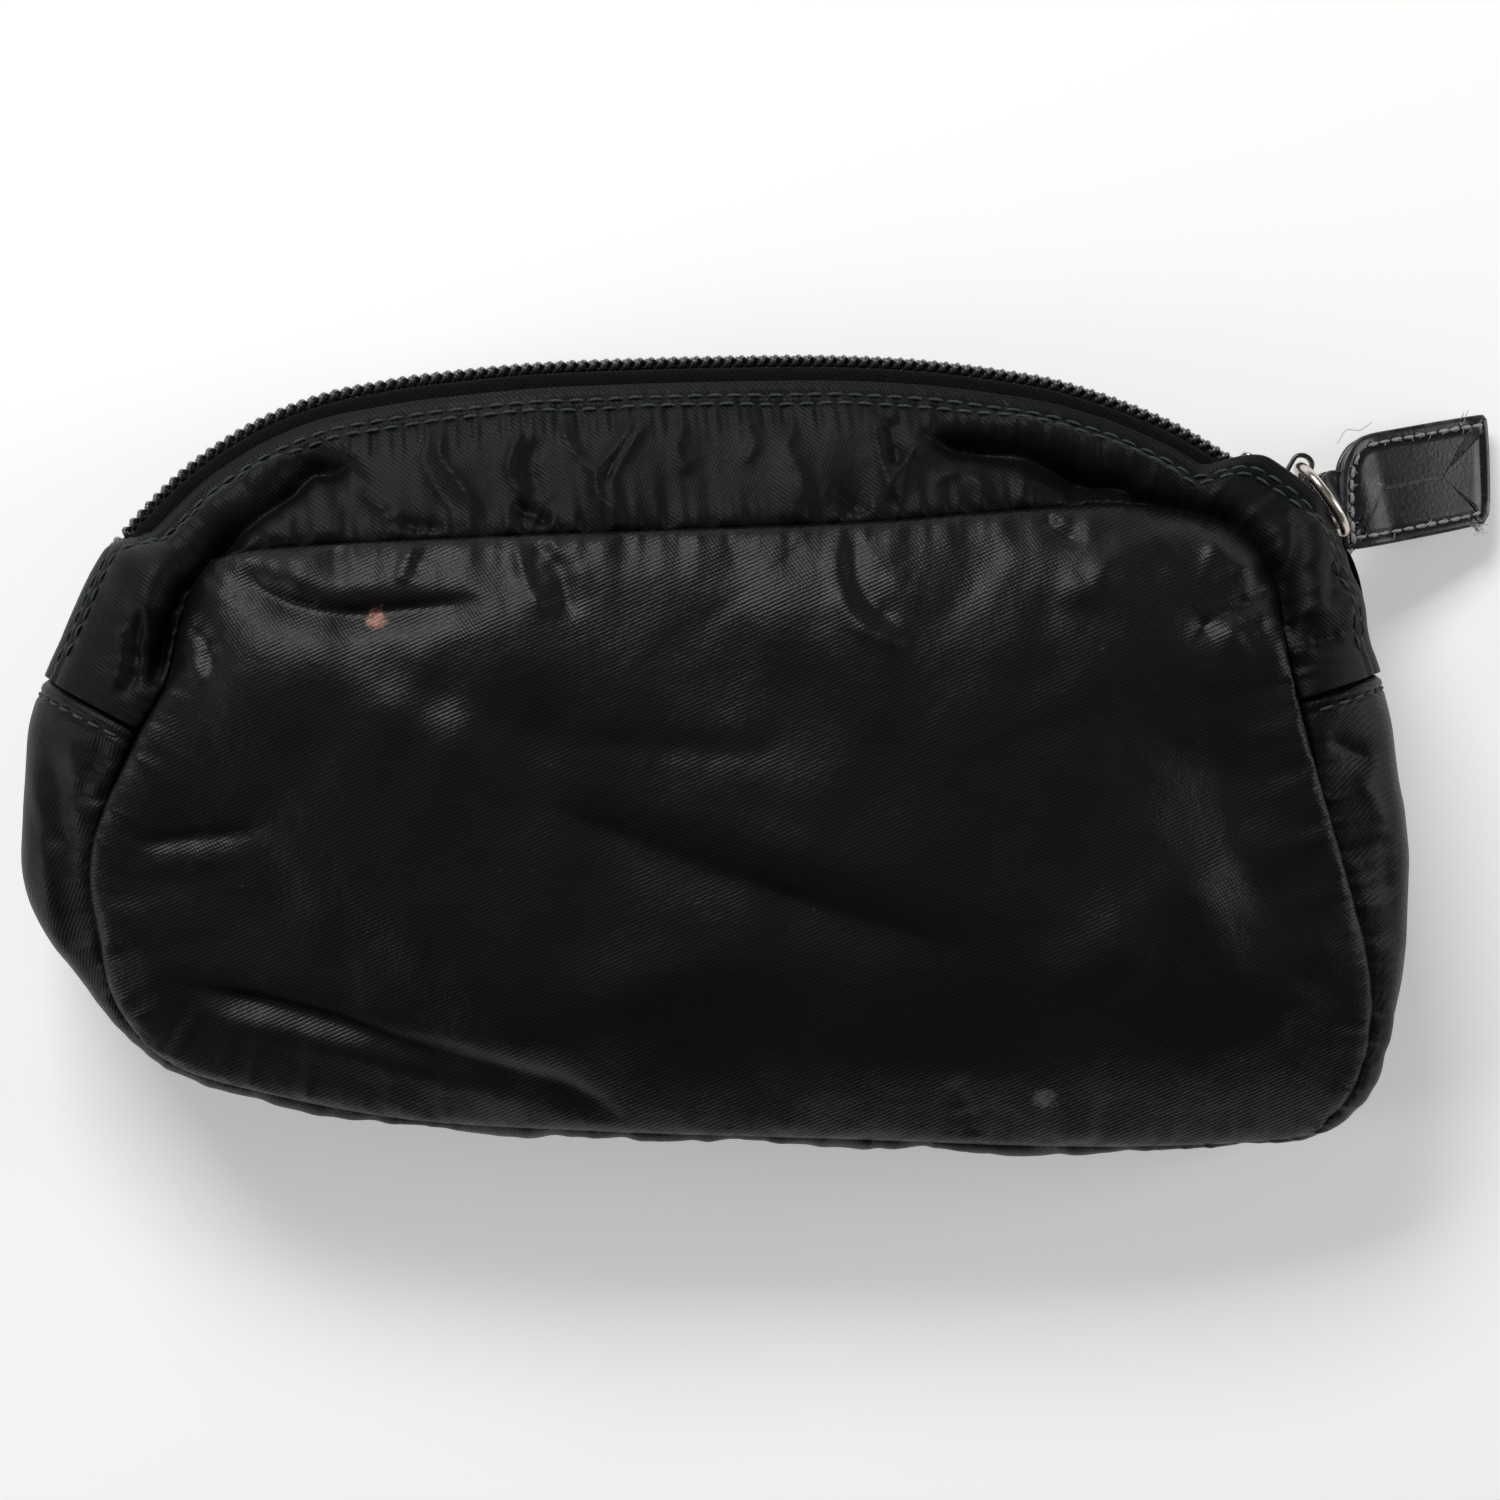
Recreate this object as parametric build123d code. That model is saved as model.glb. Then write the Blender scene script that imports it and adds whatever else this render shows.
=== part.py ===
"""Zipped nylon makeup bag with a leather zip pull, lying on its back.

Frame, in millimetres: +X along the length of the bag, towards the closed end of the zip; +Y across the
front panel, towards the zip; +Z up out of the front panel. The origin is on the flat back panel, under
the middle of the bag, so Z = 0 is the surface that the bag lies on.

The bag is two panels joined by a band. The lower band runs round both sides and the bottom, and the upper
band holds the zip along its ridge. Each piece of cloth is a thin shell of its own.
"""

from build123d import *
import os
from math import asin, atan2, cos, degrees, floor, hypot, radians, sin, sqrt

# ---- Driving dimensions -------------------------------------------------------------------------------

# Zip line: a circular arc, seen from above, at one height.
RIDGE_Z = 20.0
ARC_RADIUS = 180.0
ARC_CENTRE = (1.0, -117.8)
SLIDER_HALF_CHORD = 84.2
COIL_HALF_CHORD = 85.0
BAND_ANGLES = (-30.4, 31.0)
END_SHARE = 0.15

# Panels: corner points and corner radii of the sewn outline, from the left end of the zip band, clockwise.
LEFT_JOIN = (-92.9, 4.0)
RIGHT_JOIN = (92.9, 10.2)
LEFT_RIDGE = [(-96.4, 31.0), (-101.3, 21.5), (-104.4, 12.0)]
RIGHT_RIDGE = [(97.8, 30.0), (101.3, 22.0), (102.9, 14.8)]
TOP_CORNERS = [(-82.5, 31.5), (88.0, 40.0)]
TOP_RADII = [9.0, 12.0]
LOWER_CORNERS = [(-100.5, -16.0), (-84.0, -56.5), (104.5, -60.5)]
LOWER_RADII = [25.0, 26.0, 14.0]

# Front panel height above the rest face: a dome that falls towards each edge.
FRONT_Z = 44.0
SIDE_DROP = 8.0
TOP_DROP = 8.0
BOTTOM_DROP = 16.0
SIDE_REACH = 100.0
TOP_REACH = 38.0
BOTTOM_REACH = 58.0

# Cloth.
CLOTH = 0.8
LINING = 0.4
LINING_GAP = 0.5
LINING_TRIM = 0.04
SEAM_GAP = 0.3
STRIP_GAP = 0.002
SIDE_BULGE = 10.3
BOTTOM_BULGE = 2.6
SIDE_BLEND = 26.0
LIP_RISE = 7.6

# Seam binding, inside both panel seams.
BINDING_INSET = 1.5
BINDING_WIDTH = 4.5
BINDING_THICK = 1.2
BINDING_DEPTH = 1.8

# Zip chain.
TAPE = 0.5
TAPE_EDGE = 1.0
TAPE_BEND_Z = 4.8
TAPE_WIDTH = 8.0
TAPE_ANGLES = (-29.3, 29.3)
COIL_PITCH = 1.7
COIL_ELEMENT = (0.8, 2.2, 3.6)
COIL_LIFT = 0.1
COIL_OVERLAP = 0.7

# Slider, in its own frame: x along the zip, y outwards, z across it.
SLIDER_LENGTH = 11.0
SLIDER_WIDTH = 8.6
PLATE = 1.2
OUTER_PLATE_Y = 2.8
INNER_PLATE_Y = -3.1
FLANGE = 0.9
SLOT_LOW, SLOT_HIGH = -1.0, 0.5
POST = (3.0, 1.1)
POST_X = 3.2
EYE = (3.6, 6.1)
EYE_SIZE = (2.4, 2.8)
CROWN_WALL = 0.7
CROWN_DEPTH = 2.2

# Pull ring and leather tab.
RING_RADIUS = 6.1
WIRE_RADIUS = 0.85
RING_DROP = 0.8
RING_HEADING = -55.0
TAB_HEADING = 11.8
TAB_SLOPE = 22.0
TAB_LENGTH = 25.5
TAB_WIDTH = 17.5
TAB_START = 3.6
TAB_CORNER = 3.0
LEATHER = 1.05
LOOP_BORE = 1.8
LOOP_WALL = 0.9
LOOP_WIDTH = 4.0
LOOP_TAIL = 9.0

# Thread.
STITCH_PITCH = 3.1
STITCH = (2.2, 0.45, 0.35)
STITCH_LIFT = 0.35
TOPSTITCH_EDGES = (5.6, 7.0)


# ---- Shared geometry ------------------------------------------------------------------------------------


def zip_angle(half_chord):
    """Angle along the zip arc, from its crest, in degrees; positive to the right."""
    return degrees(asin(half_chord / ARC_RADIUS))


def zip_point(angle, out=0.0):
    """Plan position on the zip arc, moved outwards by out."""
    reach = ARC_RADIUS + out
    return (ARC_CENTRE[0] + reach * sin(radians(angle)), ARC_CENTRE[1] + reach * cos(radians(angle)))


SLIDER_ANGLE = zip_angle(SLIDER_HALF_CHORD)
COIL_ANGLE = zip_angle(COIL_HALF_CHORD)


def front_height(x, y):
    """Height of the front panel's outer face."""
    reach, drop = (TOP_REACH, TOP_DROP) if y > 0 else (BOTTOM_REACH, BOTTOM_DROP)
    return FRONT_Z - SIDE_DROP * abs(x / SIDE_REACH) ** 3 - drop * abs(y / reach) ** 3


def on_zip(angle, shape):
    """Places a shape made in the slider's frame at an angle along the zip arc."""
    x, y = zip_point(angle)
    return Pos(x, y, RIDGE_Z) * Rot(0, 0, -angle) * shape


TOP_PATH = FilletPolyline(LEFT_JOIN, *TOP_CORNERS, RIGHT_JOIN, radius=TOP_RADII)
LOWER_PATH = FilletPolyline(LEFT_JOIN, *LOWER_CORNERS, RIGHT_JOIN, radius=LOWER_RADII)


LEFT_FALL = Spline(LEFT_RIDGE[::-1] + [zip_point(BAND_ANGLES[0])])
RIGHT_FALL = Spline([zip_point(BAND_ANGLES[1])] + RIGHT_RIDGE)


def flat(vector):
    return (vector.X, vector.Y)


def ridge_point(share):
    """The outermost line of the upper band: the zip arc, with a curve down to each end of the band."""
    if share < END_SHARE:
        return flat(LEFT_FALL @ (share / END_SHARE))
    if share > 1 - END_SHARE:
        return flat(RIGHT_FALL @ ((share - 1 + END_SHARE) / END_SHARE))
    low, high = BAND_ANGLES
    return zip_point(low + (high - low) * (share - END_SHARE) / (1 - 2 * END_SHARE))


def span(seam, ridge):
    """Unit direction and length of the plan line from a seam point to a ridge point."""
    dx, dy = ridge[0] - seam[0], ridge[1] - seam[1]
    length = hypot(dx, dy)
    return (dx / length, dy / length), length


def inner_side(profile, thickness):
    """The (out, z) profile moved inwards, square to itself."""
    moved = []
    last = len(profile) - 1
    for i, (out, z) in enumerate(profile):
        before, after = profile[max(i - 1, 0)], profile[min(i + 1, last)]
        run, rise = after[0] - before[0], after[1] - before[1]
        length = hypot(run, rise)
        moved.append((out + thickness * rise / length, z - thickness * run / length))
    return moved


def section(base, heading, profile, thickness):
    """A closed thin section in the upright plane through base along heading."""
    outer = [(base[0] + o * heading[0], base[1] + o * heading[1], z) for o, z in profile]
    cut = inner_side(profile, thickness)
    inner = [(base[0] + o * heading[0], base[1] + o * heading[1], z) for o, z in cut]
    return Wire([Spline(outer), Line(outer[-1], inner[-1]), Spline(inner[::-1]), Line(inner[0], outer[0])])


def shares(count, low=0.0, high=1.0):
    return [low + (high - low) * i / (count - 1) for i in range(count)]


# ---- Panels ---------------------------------------------------------------------------------------------


def outline(inset=0.0):
    """The sewn outline of a panel, inset towards its middle."""
    face = make_face(Wire(TOP_PATH.edges() + LOWER_PATH.edges()))
    return offset(face, amount=-inset) if inset else face


def domed_panel(inset, depth, thickness):
    """A panel of even thickness, depth below the front panel's outer face."""
    xs = shares(15, -112, 112)
    ys = shares(11, -74, 56)
    grid = [[(x, y, front_height(x, y) - depth) for y in ys] for x in xs]
    skin = Face.make_surface_from_array_of_points(grid)
    slab = extrude(skin, amount=thickness, dir=(0, 0, -1))
    cutter = extrude(outline(inset), amount=FRONT_Z + 10)
    return (slab & cutter).solid()


def front_panel():
    return domed_panel(SEAM_GAP, 0.0, CLOTH)


def front_lining():
    return domed_panel(BINDING_INSET + BINDING_WIDTH + SEAM_GAP, CLOTH + LINING_GAP, LINING)


def back_panel():
    return extrude(outline(SEAM_GAP), amount=CLOTH)


def back_lining():
    inset = BINDING_INSET + BINDING_WIDTH + SEAM_GAP
    return Pos(0, 0, CLOTH + LINING_GAP) * extrude(outline(inset), amount=LINING)


# ---- Lower band: both sides and the bottom --------------------------------------------------------------


def lower_span(point, tangent):
    """Heading and bulge of the lower band at a point of the outline."""
    rise = min(max((point[1] + 54) / 34, 0), 1)
    bulge = BOTTOM_BULGE + (SIDE_BULGE - BOTTOM_BULGE) * rise * rise * (3 - 2 * rise)
    left = point[0] < 0
    seam_heading, seam_width = span(LEFT_JOIN, LEFT_RIDGE[-1]) if left else span(RIGHT_JOIN, RIGHT_RIDGE[-1])
    join = LEFT_JOIN if left else RIGHT_JOIN
    near = max(1 - hypot(point[0] - join[0], point[1] - join[1]) / SIDE_BLEND, 0) ** 2
    turned = [(1 - near) * n + near * h for n, h in zip((tangent.Y, -tangent.X), seam_heading)]
    length = hypot(*turned)
    return (turned[0] / length, turned[1] / length), bulge + (seam_width - bulge) * near


def full_profile(seam, bulge, depth):
    """(out, z) points from the front seam, round the bulge, to the back seam."""
    top = front_height(*seam) - 0.25
    low = CLOTH + 0.2
    tall = top - low
    outer = [
        (SEAM_GAP, top),
        (0.70 * bulge, low + 0.80 * tall),
        (bulge, low + 0.50 * tall),
        (0.72 * bulge, low + 0.20 * tall),
        (SEAM_GAP, low),
    ]
    return inner_side(outer, depth) if depth else outer


def lower_strip(depth, thickness):
    sections = []
    for share in shares(61, STRIP_GAP, 1 - STRIP_GAP):
        point = flat(LOWER_PATH @ share)
        heading, bulge = lower_span(point, LOWER_PATH % share)
        sections.append(section(point, heading, full_profile(point, bulge, depth), thickness))
    return Solid.make_loft(sections)


# ---- Upper band: a closed piece at each end, and two halves that meet at the zip ------------------------


def upper_stations(low, high, count):
    """Seam point, heading and width of the upper band at even steps along it."""
    for share in shares(count, low, high):
        seam = flat(TOP_PATH @ share)
        heading, length = span(seam, ridge_point(share))
        yield seam, heading, length


def end_strip(low, high):
    """The closed piece of the upper band between a side seam and the end of the zip."""
    stations = upper_stations(low, high, 13)
    sections = [section(seam, way, full_profile(seam, length, 0), CLOTH) for seam, way, length in stations]
    return Solid.make_loft(sections)


def upper_rise(out, length, seam_rise):
    """Height of the band's face from the ridge, out from the seam: a straight slope that ends in a lip."""
    slope = (seam_rise - LIP_RISE) / (length - 2.0)
    return LIP_RISE + slope * max(length - 2.0 - out, 0)


def seam_rise(seam, front):
    """Distance in height from the zip to the band's seam."""
    return front_height(*seam) - 0.25 - RIDGE_Z if front > 0 else RIDGE_Z - CLOTH - 0.2


def upper_strip(front, edge, trim, depth, thickness):
    """One half of the upper band; front is +1 for the front half and -1 for the back half."""
    sections = []
    start = SEAM_GAP
    for seam, heading, length in upper_stations(END_SHARE + trim, 1 - END_SHARE - trim, 41):
        rise = seam_rise(seam, front)
        reach = length - edge - start
        outs = [start, start + 0.33 * reach, start + 0.66 * reach, start + reach]
        profile = [(out, RIDGE_Z + front * (upper_rise(out, length, rise) - depth)) for out in outs]
        if front < 0:
            profile = profile[::-1]
        sections.append(section(seam, heading, profile, thickness))
    return Solid.make_loft(sections)


# ---- Zip chain ------------------------------------------------------------------------------------------


def tape(front):
    """Half of the zip tape: upright beside the coil, then bent in under the band."""
    sections = []
    for angle in shares(21, *TAPE_ANGLES):
        profile = [
            (-TAPE_WIDTH, 8.0),
            (-3.6, 6.7),
            (-1.2, 5.9),
            (0.0, TAPE_BEND_Z - 0.4),
            (0.0, TAPE_EDGE),
        ]
        profile = [(out, RIDGE_Z + front * rise) for out, rise in profile]
        if front < 0:
            profile = profile[::-1]
        inner = inner_side(profile, TAPE)
        base = zip_point(angle)
        heading = (sin(radians(angle)), cos(radians(angle)))
        outer_pts = [(base[0] + o * heading[0], base[1] + o * heading[1], z) for o, z in profile]
        inner_pts = [(base[0] + o * heading[0], base[1] + o * heading[1], z) for o, z in inner]
        sections.append(Wire(Polyline(*outer_pts, *inner_pts[::-1], close=True).edges()))
    return Solid.make_loft(sections, ruled=True)


def coil(front):
    """One side of the coil: a row of loops that reach past the middle, between those of the other side."""
    wide, tall, deep = COIL_ELEMENT
    step = degrees(COIL_PITCH / ARC_RADIUS)
    start = -COIL_ANGLE + (0 if front > 0 else step / 2)
    count = floor(2 * COIL_ANGLE / step)
    loop = Pos(0, COIL_LIFT + tall / 2, front * (deep / 2 - COIL_OVERLAP)) * Box(wide, tall, deep)
    loop = fillet(loop.edges().filter_by(Axis.X), tall * 0.35)
    return Compound([on_zip(start + i * step, loop) for i in range(count)])


def bottom_stop():
    """The crimp that joins the two tape edges at the closed end of the zip."""
    block = Pos(0, 0.7, 0) * Box(2.4, 2.6, 6.6)
    slot = Pos(0, -TAPE / 2, 0) * Box(4, TAPE + 0.2, 8)
    return on_zip(-COIL_ANGLE - 1.0, fillet(block.edges().filter_by(Axis.X), 0.4) - slot)


# ---- Slider, ring and tab -------------------------------------------------------------------------------


def slider_plate(low):
    """A plate with a rounded tail and a wider nose."""
    nose, tail = SLIDER_LENGTH / 2, -SLIDER_LENGTH / 2
    half = SLIDER_WIDTH / 2
    points = [(tail, -0.72 * half), (tail, 0.72 * half), (0, half), (nose, half), (nose, -half), (0, -half)]
    face = make_face(Polyline(*points, close=True))
    corners = face.vertices().filter_by(lambda v: abs(v.X) > 1)
    face = fillet(corners, 1.2)
    plate = extrude(face, amount=PLATE)
    return Pos(0, low, 0) * Rot(90, 0, 0) * Pos(0, 0, -PLATE) * plate


def slider_body():
    """Two plates joined by the post that parts the coil, with a lip along each side of both plates."""
    half = SLIDER_WIDTH / 2
    body = slider_plate(OUTER_PLATE_Y) + slider_plate(INNER_PLATE_Y)
    lip_length = SLIDER_LENGTH * 0.62
    lip_x = SLIDER_LENGTH / 2 - lip_length / 2 - 0.8
    inner_top = INNER_PLATE_Y + PLATE
    for side in (-1, 1):
        z = side * (half - FLANGE / 2)
        upper = OUTER_PLATE_Y - SLOT_HIGH + 0.2
        lower = SLOT_LOW - inner_top + 0.2
        body += Pos(lip_x, SLOT_HIGH + upper / 2, z) * Box(lip_length, upper, FLANGE)
        body += Pos(lip_x, SLOT_LOW - lower / 2, z) * Box(lip_length, lower, FLANGE)
    post_height = OUTER_PLATE_Y - inner_top + 0.4
    body += Pos(POST_X, (OUTER_PLATE_Y + inner_top) / 2, 0) * Box(POST[0], post_height, POST[1])
    return on_zip(SLIDER_ANGLE, body.solid())


def slider_crown():
    """The bridge on the outer plate that holds the ring."""
    foot = OUTER_PLATE_Y + PLATE
    top = EYE[1] + EYE_SIZE[1] / 2 + CROWN_WALL
    arch = Pos(EYE[0], (foot + top) / 2, 0) * Box(EYE_SIZE[0] + 2 * CROWN_WALL, top - foot, CROWN_DEPTH)
    arch = fillet(arch.edges().filter_by(Axis.Z).sort_by(Axis.Y)[-2:], 1.3)
    eye = Pos(EYE[0], EYE[1], 0) * Box(EYE_SIZE[0], EYE_SIZE[1], 2 * CROWN_DEPTH)
    eye = fillet(eye.edges().filter_by(Axis.Z), 0.6)
    arch -= eye
    arch -= Pos(EYE[0], foot, 0) * Box(EYE_SIZE[0] - 1.2, EYE_SIZE[1], 2 * CROWN_DEPTH)
    return on_zip(SLIDER_ANGLE, arch)


def eye_point():
    x, y = zip_point(SLIDER_ANGLE)
    angle = radians(SLIDER_ANGLE)
    along = (cos(angle), -sin(angle))
    out = (sin(angle), cos(angle))
    return (x + EYE[0] * along[0] + EYE[1] * out[0], y + EYE[0] * along[1] + EYE[1] * out[1], RIDGE_Z)


def ring_centre():
    eye = eye_point()
    reach = sqrt(RING_RADIUS**2 - RING_DROP**2)
    heading = radians(RING_HEADING)
    return (eye[0] + reach * cos(heading), eye[1] + reach * sin(heading), eye[2] - RING_DROP)


def pull_ring():
    """A closed wire ring that stands on edge through the crown's eye."""
    return Pos(*ring_centre()) * Rot(0, 0, RING_HEADING) * Rot(90, 0, 0) * Torus(RING_RADIUS, WIRE_RADIUS)


def ring_low_point():
    x, y, z = ring_centre()
    return (x, y, z - RING_RADIUS)


def in_tab_frame(shape):
    """Places a shape made with x along the tab and z out of its face at the ring's lowest point."""
    return Pos(*ring_low_point()) * Rot(0, 0, TAB_HEADING) * Rot(0, TAB_SLOPE, 0) * shape


def tab_layer(low):
    face = Pos(TAB_START + TAB_LENGTH / 2, 0) * RectangleRounded(TAB_LENGTH, TAB_WIDTH, TAB_CORNER)
    return in_tab_frame(Pos(0, 0, low) * extrude(face, amount=LEATHER))


def tab_front_leather():
    return tab_layer(LEATHER / 2 + 0.05)


def tab_back_leather():
    return tab_layer(-1.5 * LEATHER - 0.05)


def tab_ring_loop():
    """The leather strip round the ring, whose tail is sewn between the tab's two layers."""
    eye = Rot(90, 0, 0) * (Cylinder(LOOP_BORE + LOOP_WALL, LOOP_WIDTH) - Cylinder(LOOP_BORE, LOOP_WIDTH * 2))
    tail_start = LOOP_BORE + LOOP_WALL / 2
    tail = Pos(tail_start + LOOP_TAIL / 2, 0, 0) * Box(LOOP_TAIL, LOOP_WIDTH, LEATHER)
    skew = RING_HEADING + 90 - TAB_HEADING
    return in_tab_frame(Rot(0, 0, skew) * (eye + tail))


def tab_stitches(side):
    """A row of thread along one long edge of the tab, proud of its front face."""
    count = 8
    top = 1.5 * LEATHER + 0.05
    stitch = Pos(0, 0, STITCH[2] / 2) * Box(*STITCH)
    rows = []
    for i in range(count):
        x = TAB_START + 2.2 + i * (TAB_LENGTH - 4.4) / (count - 1)
        rows.append(in_tab_frame(Pos(x, side * (TAB_WIDTH / 2 - 1.8), top) * stitch))
    return Compound(rows)


# ---- Seam binding and thread ----------------------------------------------------------------------------


def binding_strip(path, turn, front):
    sections = []
    for share in shares(71, STRIP_GAP, 1 - STRIP_GAP):
        point = flat(path @ share)
        tangent = path % share
        inward = (-turn * tangent.Y, turn * tangent.X)
        if front:
            top = front_height(*point) - BINDING_DEPTH
        else:
            top = CLOTH + 0.2 + BINDING_THICK
        corners = [
            (BINDING_INSET, top),
            (BINDING_INSET + BINDING_WIDTH, top),
            (BINDING_INSET + BINDING_WIDTH, top - BINDING_THICK),
            (BINDING_INSET, top - BINDING_THICK),
        ]
        ring = [(point[0] + d * inward[0], point[1] + d * inward[1], z) for d, z in corners]
        sections.append(Wire(Polyline(*ring, close=True).edges()))
    return Solid.make_loft(sections, ruled=True)


def seam_binding(front):
    """Tape folded over the raw edges inside a panel seam, in two lengths."""
    return Compound([binding_strip(TOP_PATH, -1, front), binding_strip(LOWER_PATH, 1, front)])


def topstitch(front, edges):
    """Rows of stitches along the upper band, each set in from the ridge, proud of the cloth."""
    run = ARC_RADIUS * radians(BAND_ANGLES[1] - BAND_ANGLES[0])
    count = floor(run / STITCH_PITCH)
    stitches = []
    for seam, heading, length in upper_stations(END_SHARE + 0.02, 1 - END_SHARE - 0.02, count):
        rise = seam_rise(seam, front)
        slope = (rise - LIP_RISE) / (length - 2.0)
        ridge = (seam[0] + length * heading[0], seam[1] + length * heading[1])
        angle = atan2(ridge[0] - ARC_CENTRE[0], ridge[1] - ARC_CENTRE[1])
        along = Vector(cos(angle), -sin(angle), 0)
        down = Vector(heading[0], heading[1], -front * slope)
        away = along.cross(down).normalized() * front
        for edge in edges:
            out = length - edge
            on_cloth = Vector(
                seam[0] + out * heading[0],
                seam[1] + out * heading[1],
                RIDGE_Z + front * upper_rise(out, length, rise),
            )
            origin = on_cloth + away * (STITCH_LIFT + STITCH[2] / 2)
            place = Plane(origin=origin, x_dir=along, z_dir=away)
            stitches.append(place.location * Box(*STITCH))
    return Compound(stitches)


# ---- The nodes ------------------------------------------------------------------------------------------

NODES = {
    "front_panel": front_panel(),
    "back_panel": back_panel(),
    "lower_gusset": lower_strip(0, CLOTH),
    "end_gusset_left": end_strip(STRIP_GAP, END_SHARE - STRIP_GAP),
    "end_gusset_right": end_strip(1 - END_SHARE + STRIP_GAP, 1 - STRIP_GAP),
    "upper_gusset_front": upper_strip(1, 2.4, STRIP_GAP, 0, CLOTH),
    "upper_gusset_back": upper_strip(-1, 2.4, STRIP_GAP, 0, CLOTH),
    "front_lining": front_lining(),
    "back_lining": back_lining(),
    "lower_lining": lower_strip(CLOTH + LINING_GAP, LINING),
    "upper_lining_front": upper_strip(1, 8.6, LINING_TRIM, CLOTH + LINING_GAP, LINING),
    "upper_lining_back": upper_strip(-1, 8.6, LINING_TRIM, CLOTH + LINING_GAP, LINING),
    "front_seam_binding": seam_binding(True),
    "back_seam_binding": seam_binding(False),
    "zip_topstitch_front": topstitch(1, TOPSTITCH_EDGES),
    "zip_topstitch_back": topstitch(-1, TOPSTITCH_EDGES),
    "zip_tape_front": tape(1),
    "zip_tape_back": tape(-1),
    "zip_coil_front": coil(1),
    "zip_coil_back": coil(-1),
    "zip_bottom_stop": bottom_stop(),
    "slider_body": slider_body(),
    "slider_crown": slider_crown(),
    "pull_ring": pull_ring(),
    "tab_front_leather": tab_front_leather(),
    "tab_back_leather": tab_back_leather(),
    "tab_ring_loop": tab_ring_loop(),
    "tab_stitches_upper": tab_stitches(1),
    "tab_stitches_lower": tab_stitches(-1),
}

os.makedirs("parts", exist_ok=True)
for name, shape in NODES.items():
    export_step(shape, f"parts/{name}.step")
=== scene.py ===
import bmesh
import bpy
import numpy as np
from math import asin, cos, pi, radians, sin, sqrt
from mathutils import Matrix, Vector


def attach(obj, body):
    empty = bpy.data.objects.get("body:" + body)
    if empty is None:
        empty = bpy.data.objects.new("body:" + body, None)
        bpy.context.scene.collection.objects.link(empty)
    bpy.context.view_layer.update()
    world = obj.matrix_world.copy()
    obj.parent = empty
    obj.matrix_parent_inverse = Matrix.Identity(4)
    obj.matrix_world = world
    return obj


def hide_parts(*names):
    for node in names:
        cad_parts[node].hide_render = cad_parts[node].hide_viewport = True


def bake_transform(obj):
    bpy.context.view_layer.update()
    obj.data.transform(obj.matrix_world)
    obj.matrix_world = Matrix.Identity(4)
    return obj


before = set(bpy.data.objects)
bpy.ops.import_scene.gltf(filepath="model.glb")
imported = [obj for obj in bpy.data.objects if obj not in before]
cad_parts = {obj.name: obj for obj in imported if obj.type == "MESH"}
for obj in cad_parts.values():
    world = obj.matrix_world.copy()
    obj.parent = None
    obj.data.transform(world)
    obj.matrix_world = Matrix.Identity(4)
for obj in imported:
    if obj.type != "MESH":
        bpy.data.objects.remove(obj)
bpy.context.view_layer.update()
rng = np.random.default_rng(7)

# Lengths below are in millimetres, in the frame of the CAD model; make() turns them into metres.
# The plan positions of seams and folds are as they look from straight above, at the height of the zip, so
# plan_view() moves a point that is higher or lower to where it looks to be.
ZIP_Z = 20.0
EYE_XY = np.array([5.16, 0.78])
EYE_HEIGHT = 620.0
VIEW_WIDTH = 234.54

# ---- Small helpers --------------------------------------------------------------------------------------


def make(name, verts, faces, smooth=True, solid=True):
    mesh = bpy.data.meshes.new(name)
    mesh.from_pydata((np.asarray(verts, float) / 1000).tolist(), [], faces)
    mesh.validate()
    if solid:
        shell = bmesh.new()
        shell.from_mesh(mesh)
        bmesh.ops.recalc_face_normals(shell, faces=shell.faces)
        shell.to_mesh(mesh)
        shell.free()
    if smooth:
        mesh.shade_smooth()
    obj = bpy.data.objects.new(name, mesh)
    bpy.context.scene.collection.objects.link(obj)
    return obj


def grid_faces(nu, nv, close_u=False, close_v=False, flip=False, base=0):
    i, j = np.meshgrid(
        np.arange(nu if close_u else nu - 1), np.arange(nv if close_v else nv - 1), indexing="ij"
    )
    i2, j2 = (i + 1) % nu, (j + 1) % nv
    quads = [i * nv + j, i2 * nv + j, i2 * nv + j2, i * nv + j2]
    if flip:
        quads = quads[::-1]
    return (np.stack(quads, -1).reshape(-1, 4) + base).tolist()


def grid_mesh(name, points, close_u=False, close_v=False, flip=False):
    nu, nv = points.shape[:2]
    faces = grid_faces(nu, nv, close_u, close_v, flip)
    return make(name, points.reshape(-1, 3), faces, solid=close_v)


def curve(points, count, closed=False, per=24):
    """A Catmull-Rom curve through points, evenly spaced along its length."""
    p = np.asarray(points, float)
    n = len(p)
    out = []
    for i in range(n if closed else n - 1):
        if closed:
            a, b, c, d = p[(i - 1) % n], p[i], p[(i + 1) % n], p[(i + 2) % n]
        else:
            b, c = p[i], p[i + 1]
            a = p[i - 1] if i else 2 * b - c
            d = p[i + 2] if i + 2 < n else 2 * c - b
        t = np.linspace(0, 1, per, endpoint=False)[:, None]
        cubic = (3 * b - a - 3 * c + d) * t**3
        out.append(0.5 * (2 * b + (c - a) * t + (2 * a - 5 * b + 4 * c - d) * t**2 + cubic))
    dense = np.vstack(out + [p[:1] if closed else p[-1:]])
    return resample(dense, count)


def lengths(p):
    return np.concatenate([[0], np.cumsum(np.linalg.norm(np.diff(p, axis=0), axis=1))])


def resample(p, count):
    s = lengths(p)
    t = np.linspace(0, s[-1], count)
    return np.stack([np.interp(t, s, p[:, k]) for k in range(p.shape[1])], -1)


def at_share(p, share):
    s = lengths(p)
    t = np.asarray(share) * s[-1]
    return np.stack([np.interp(t, s, p[:, k]) for k in range(p.shape[1])], -1)


def unit(v):
    """The rows of v, each scaled to length 1."""
    return v / np.linalg.norm(v, axis=1, keepdims=True)


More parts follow.
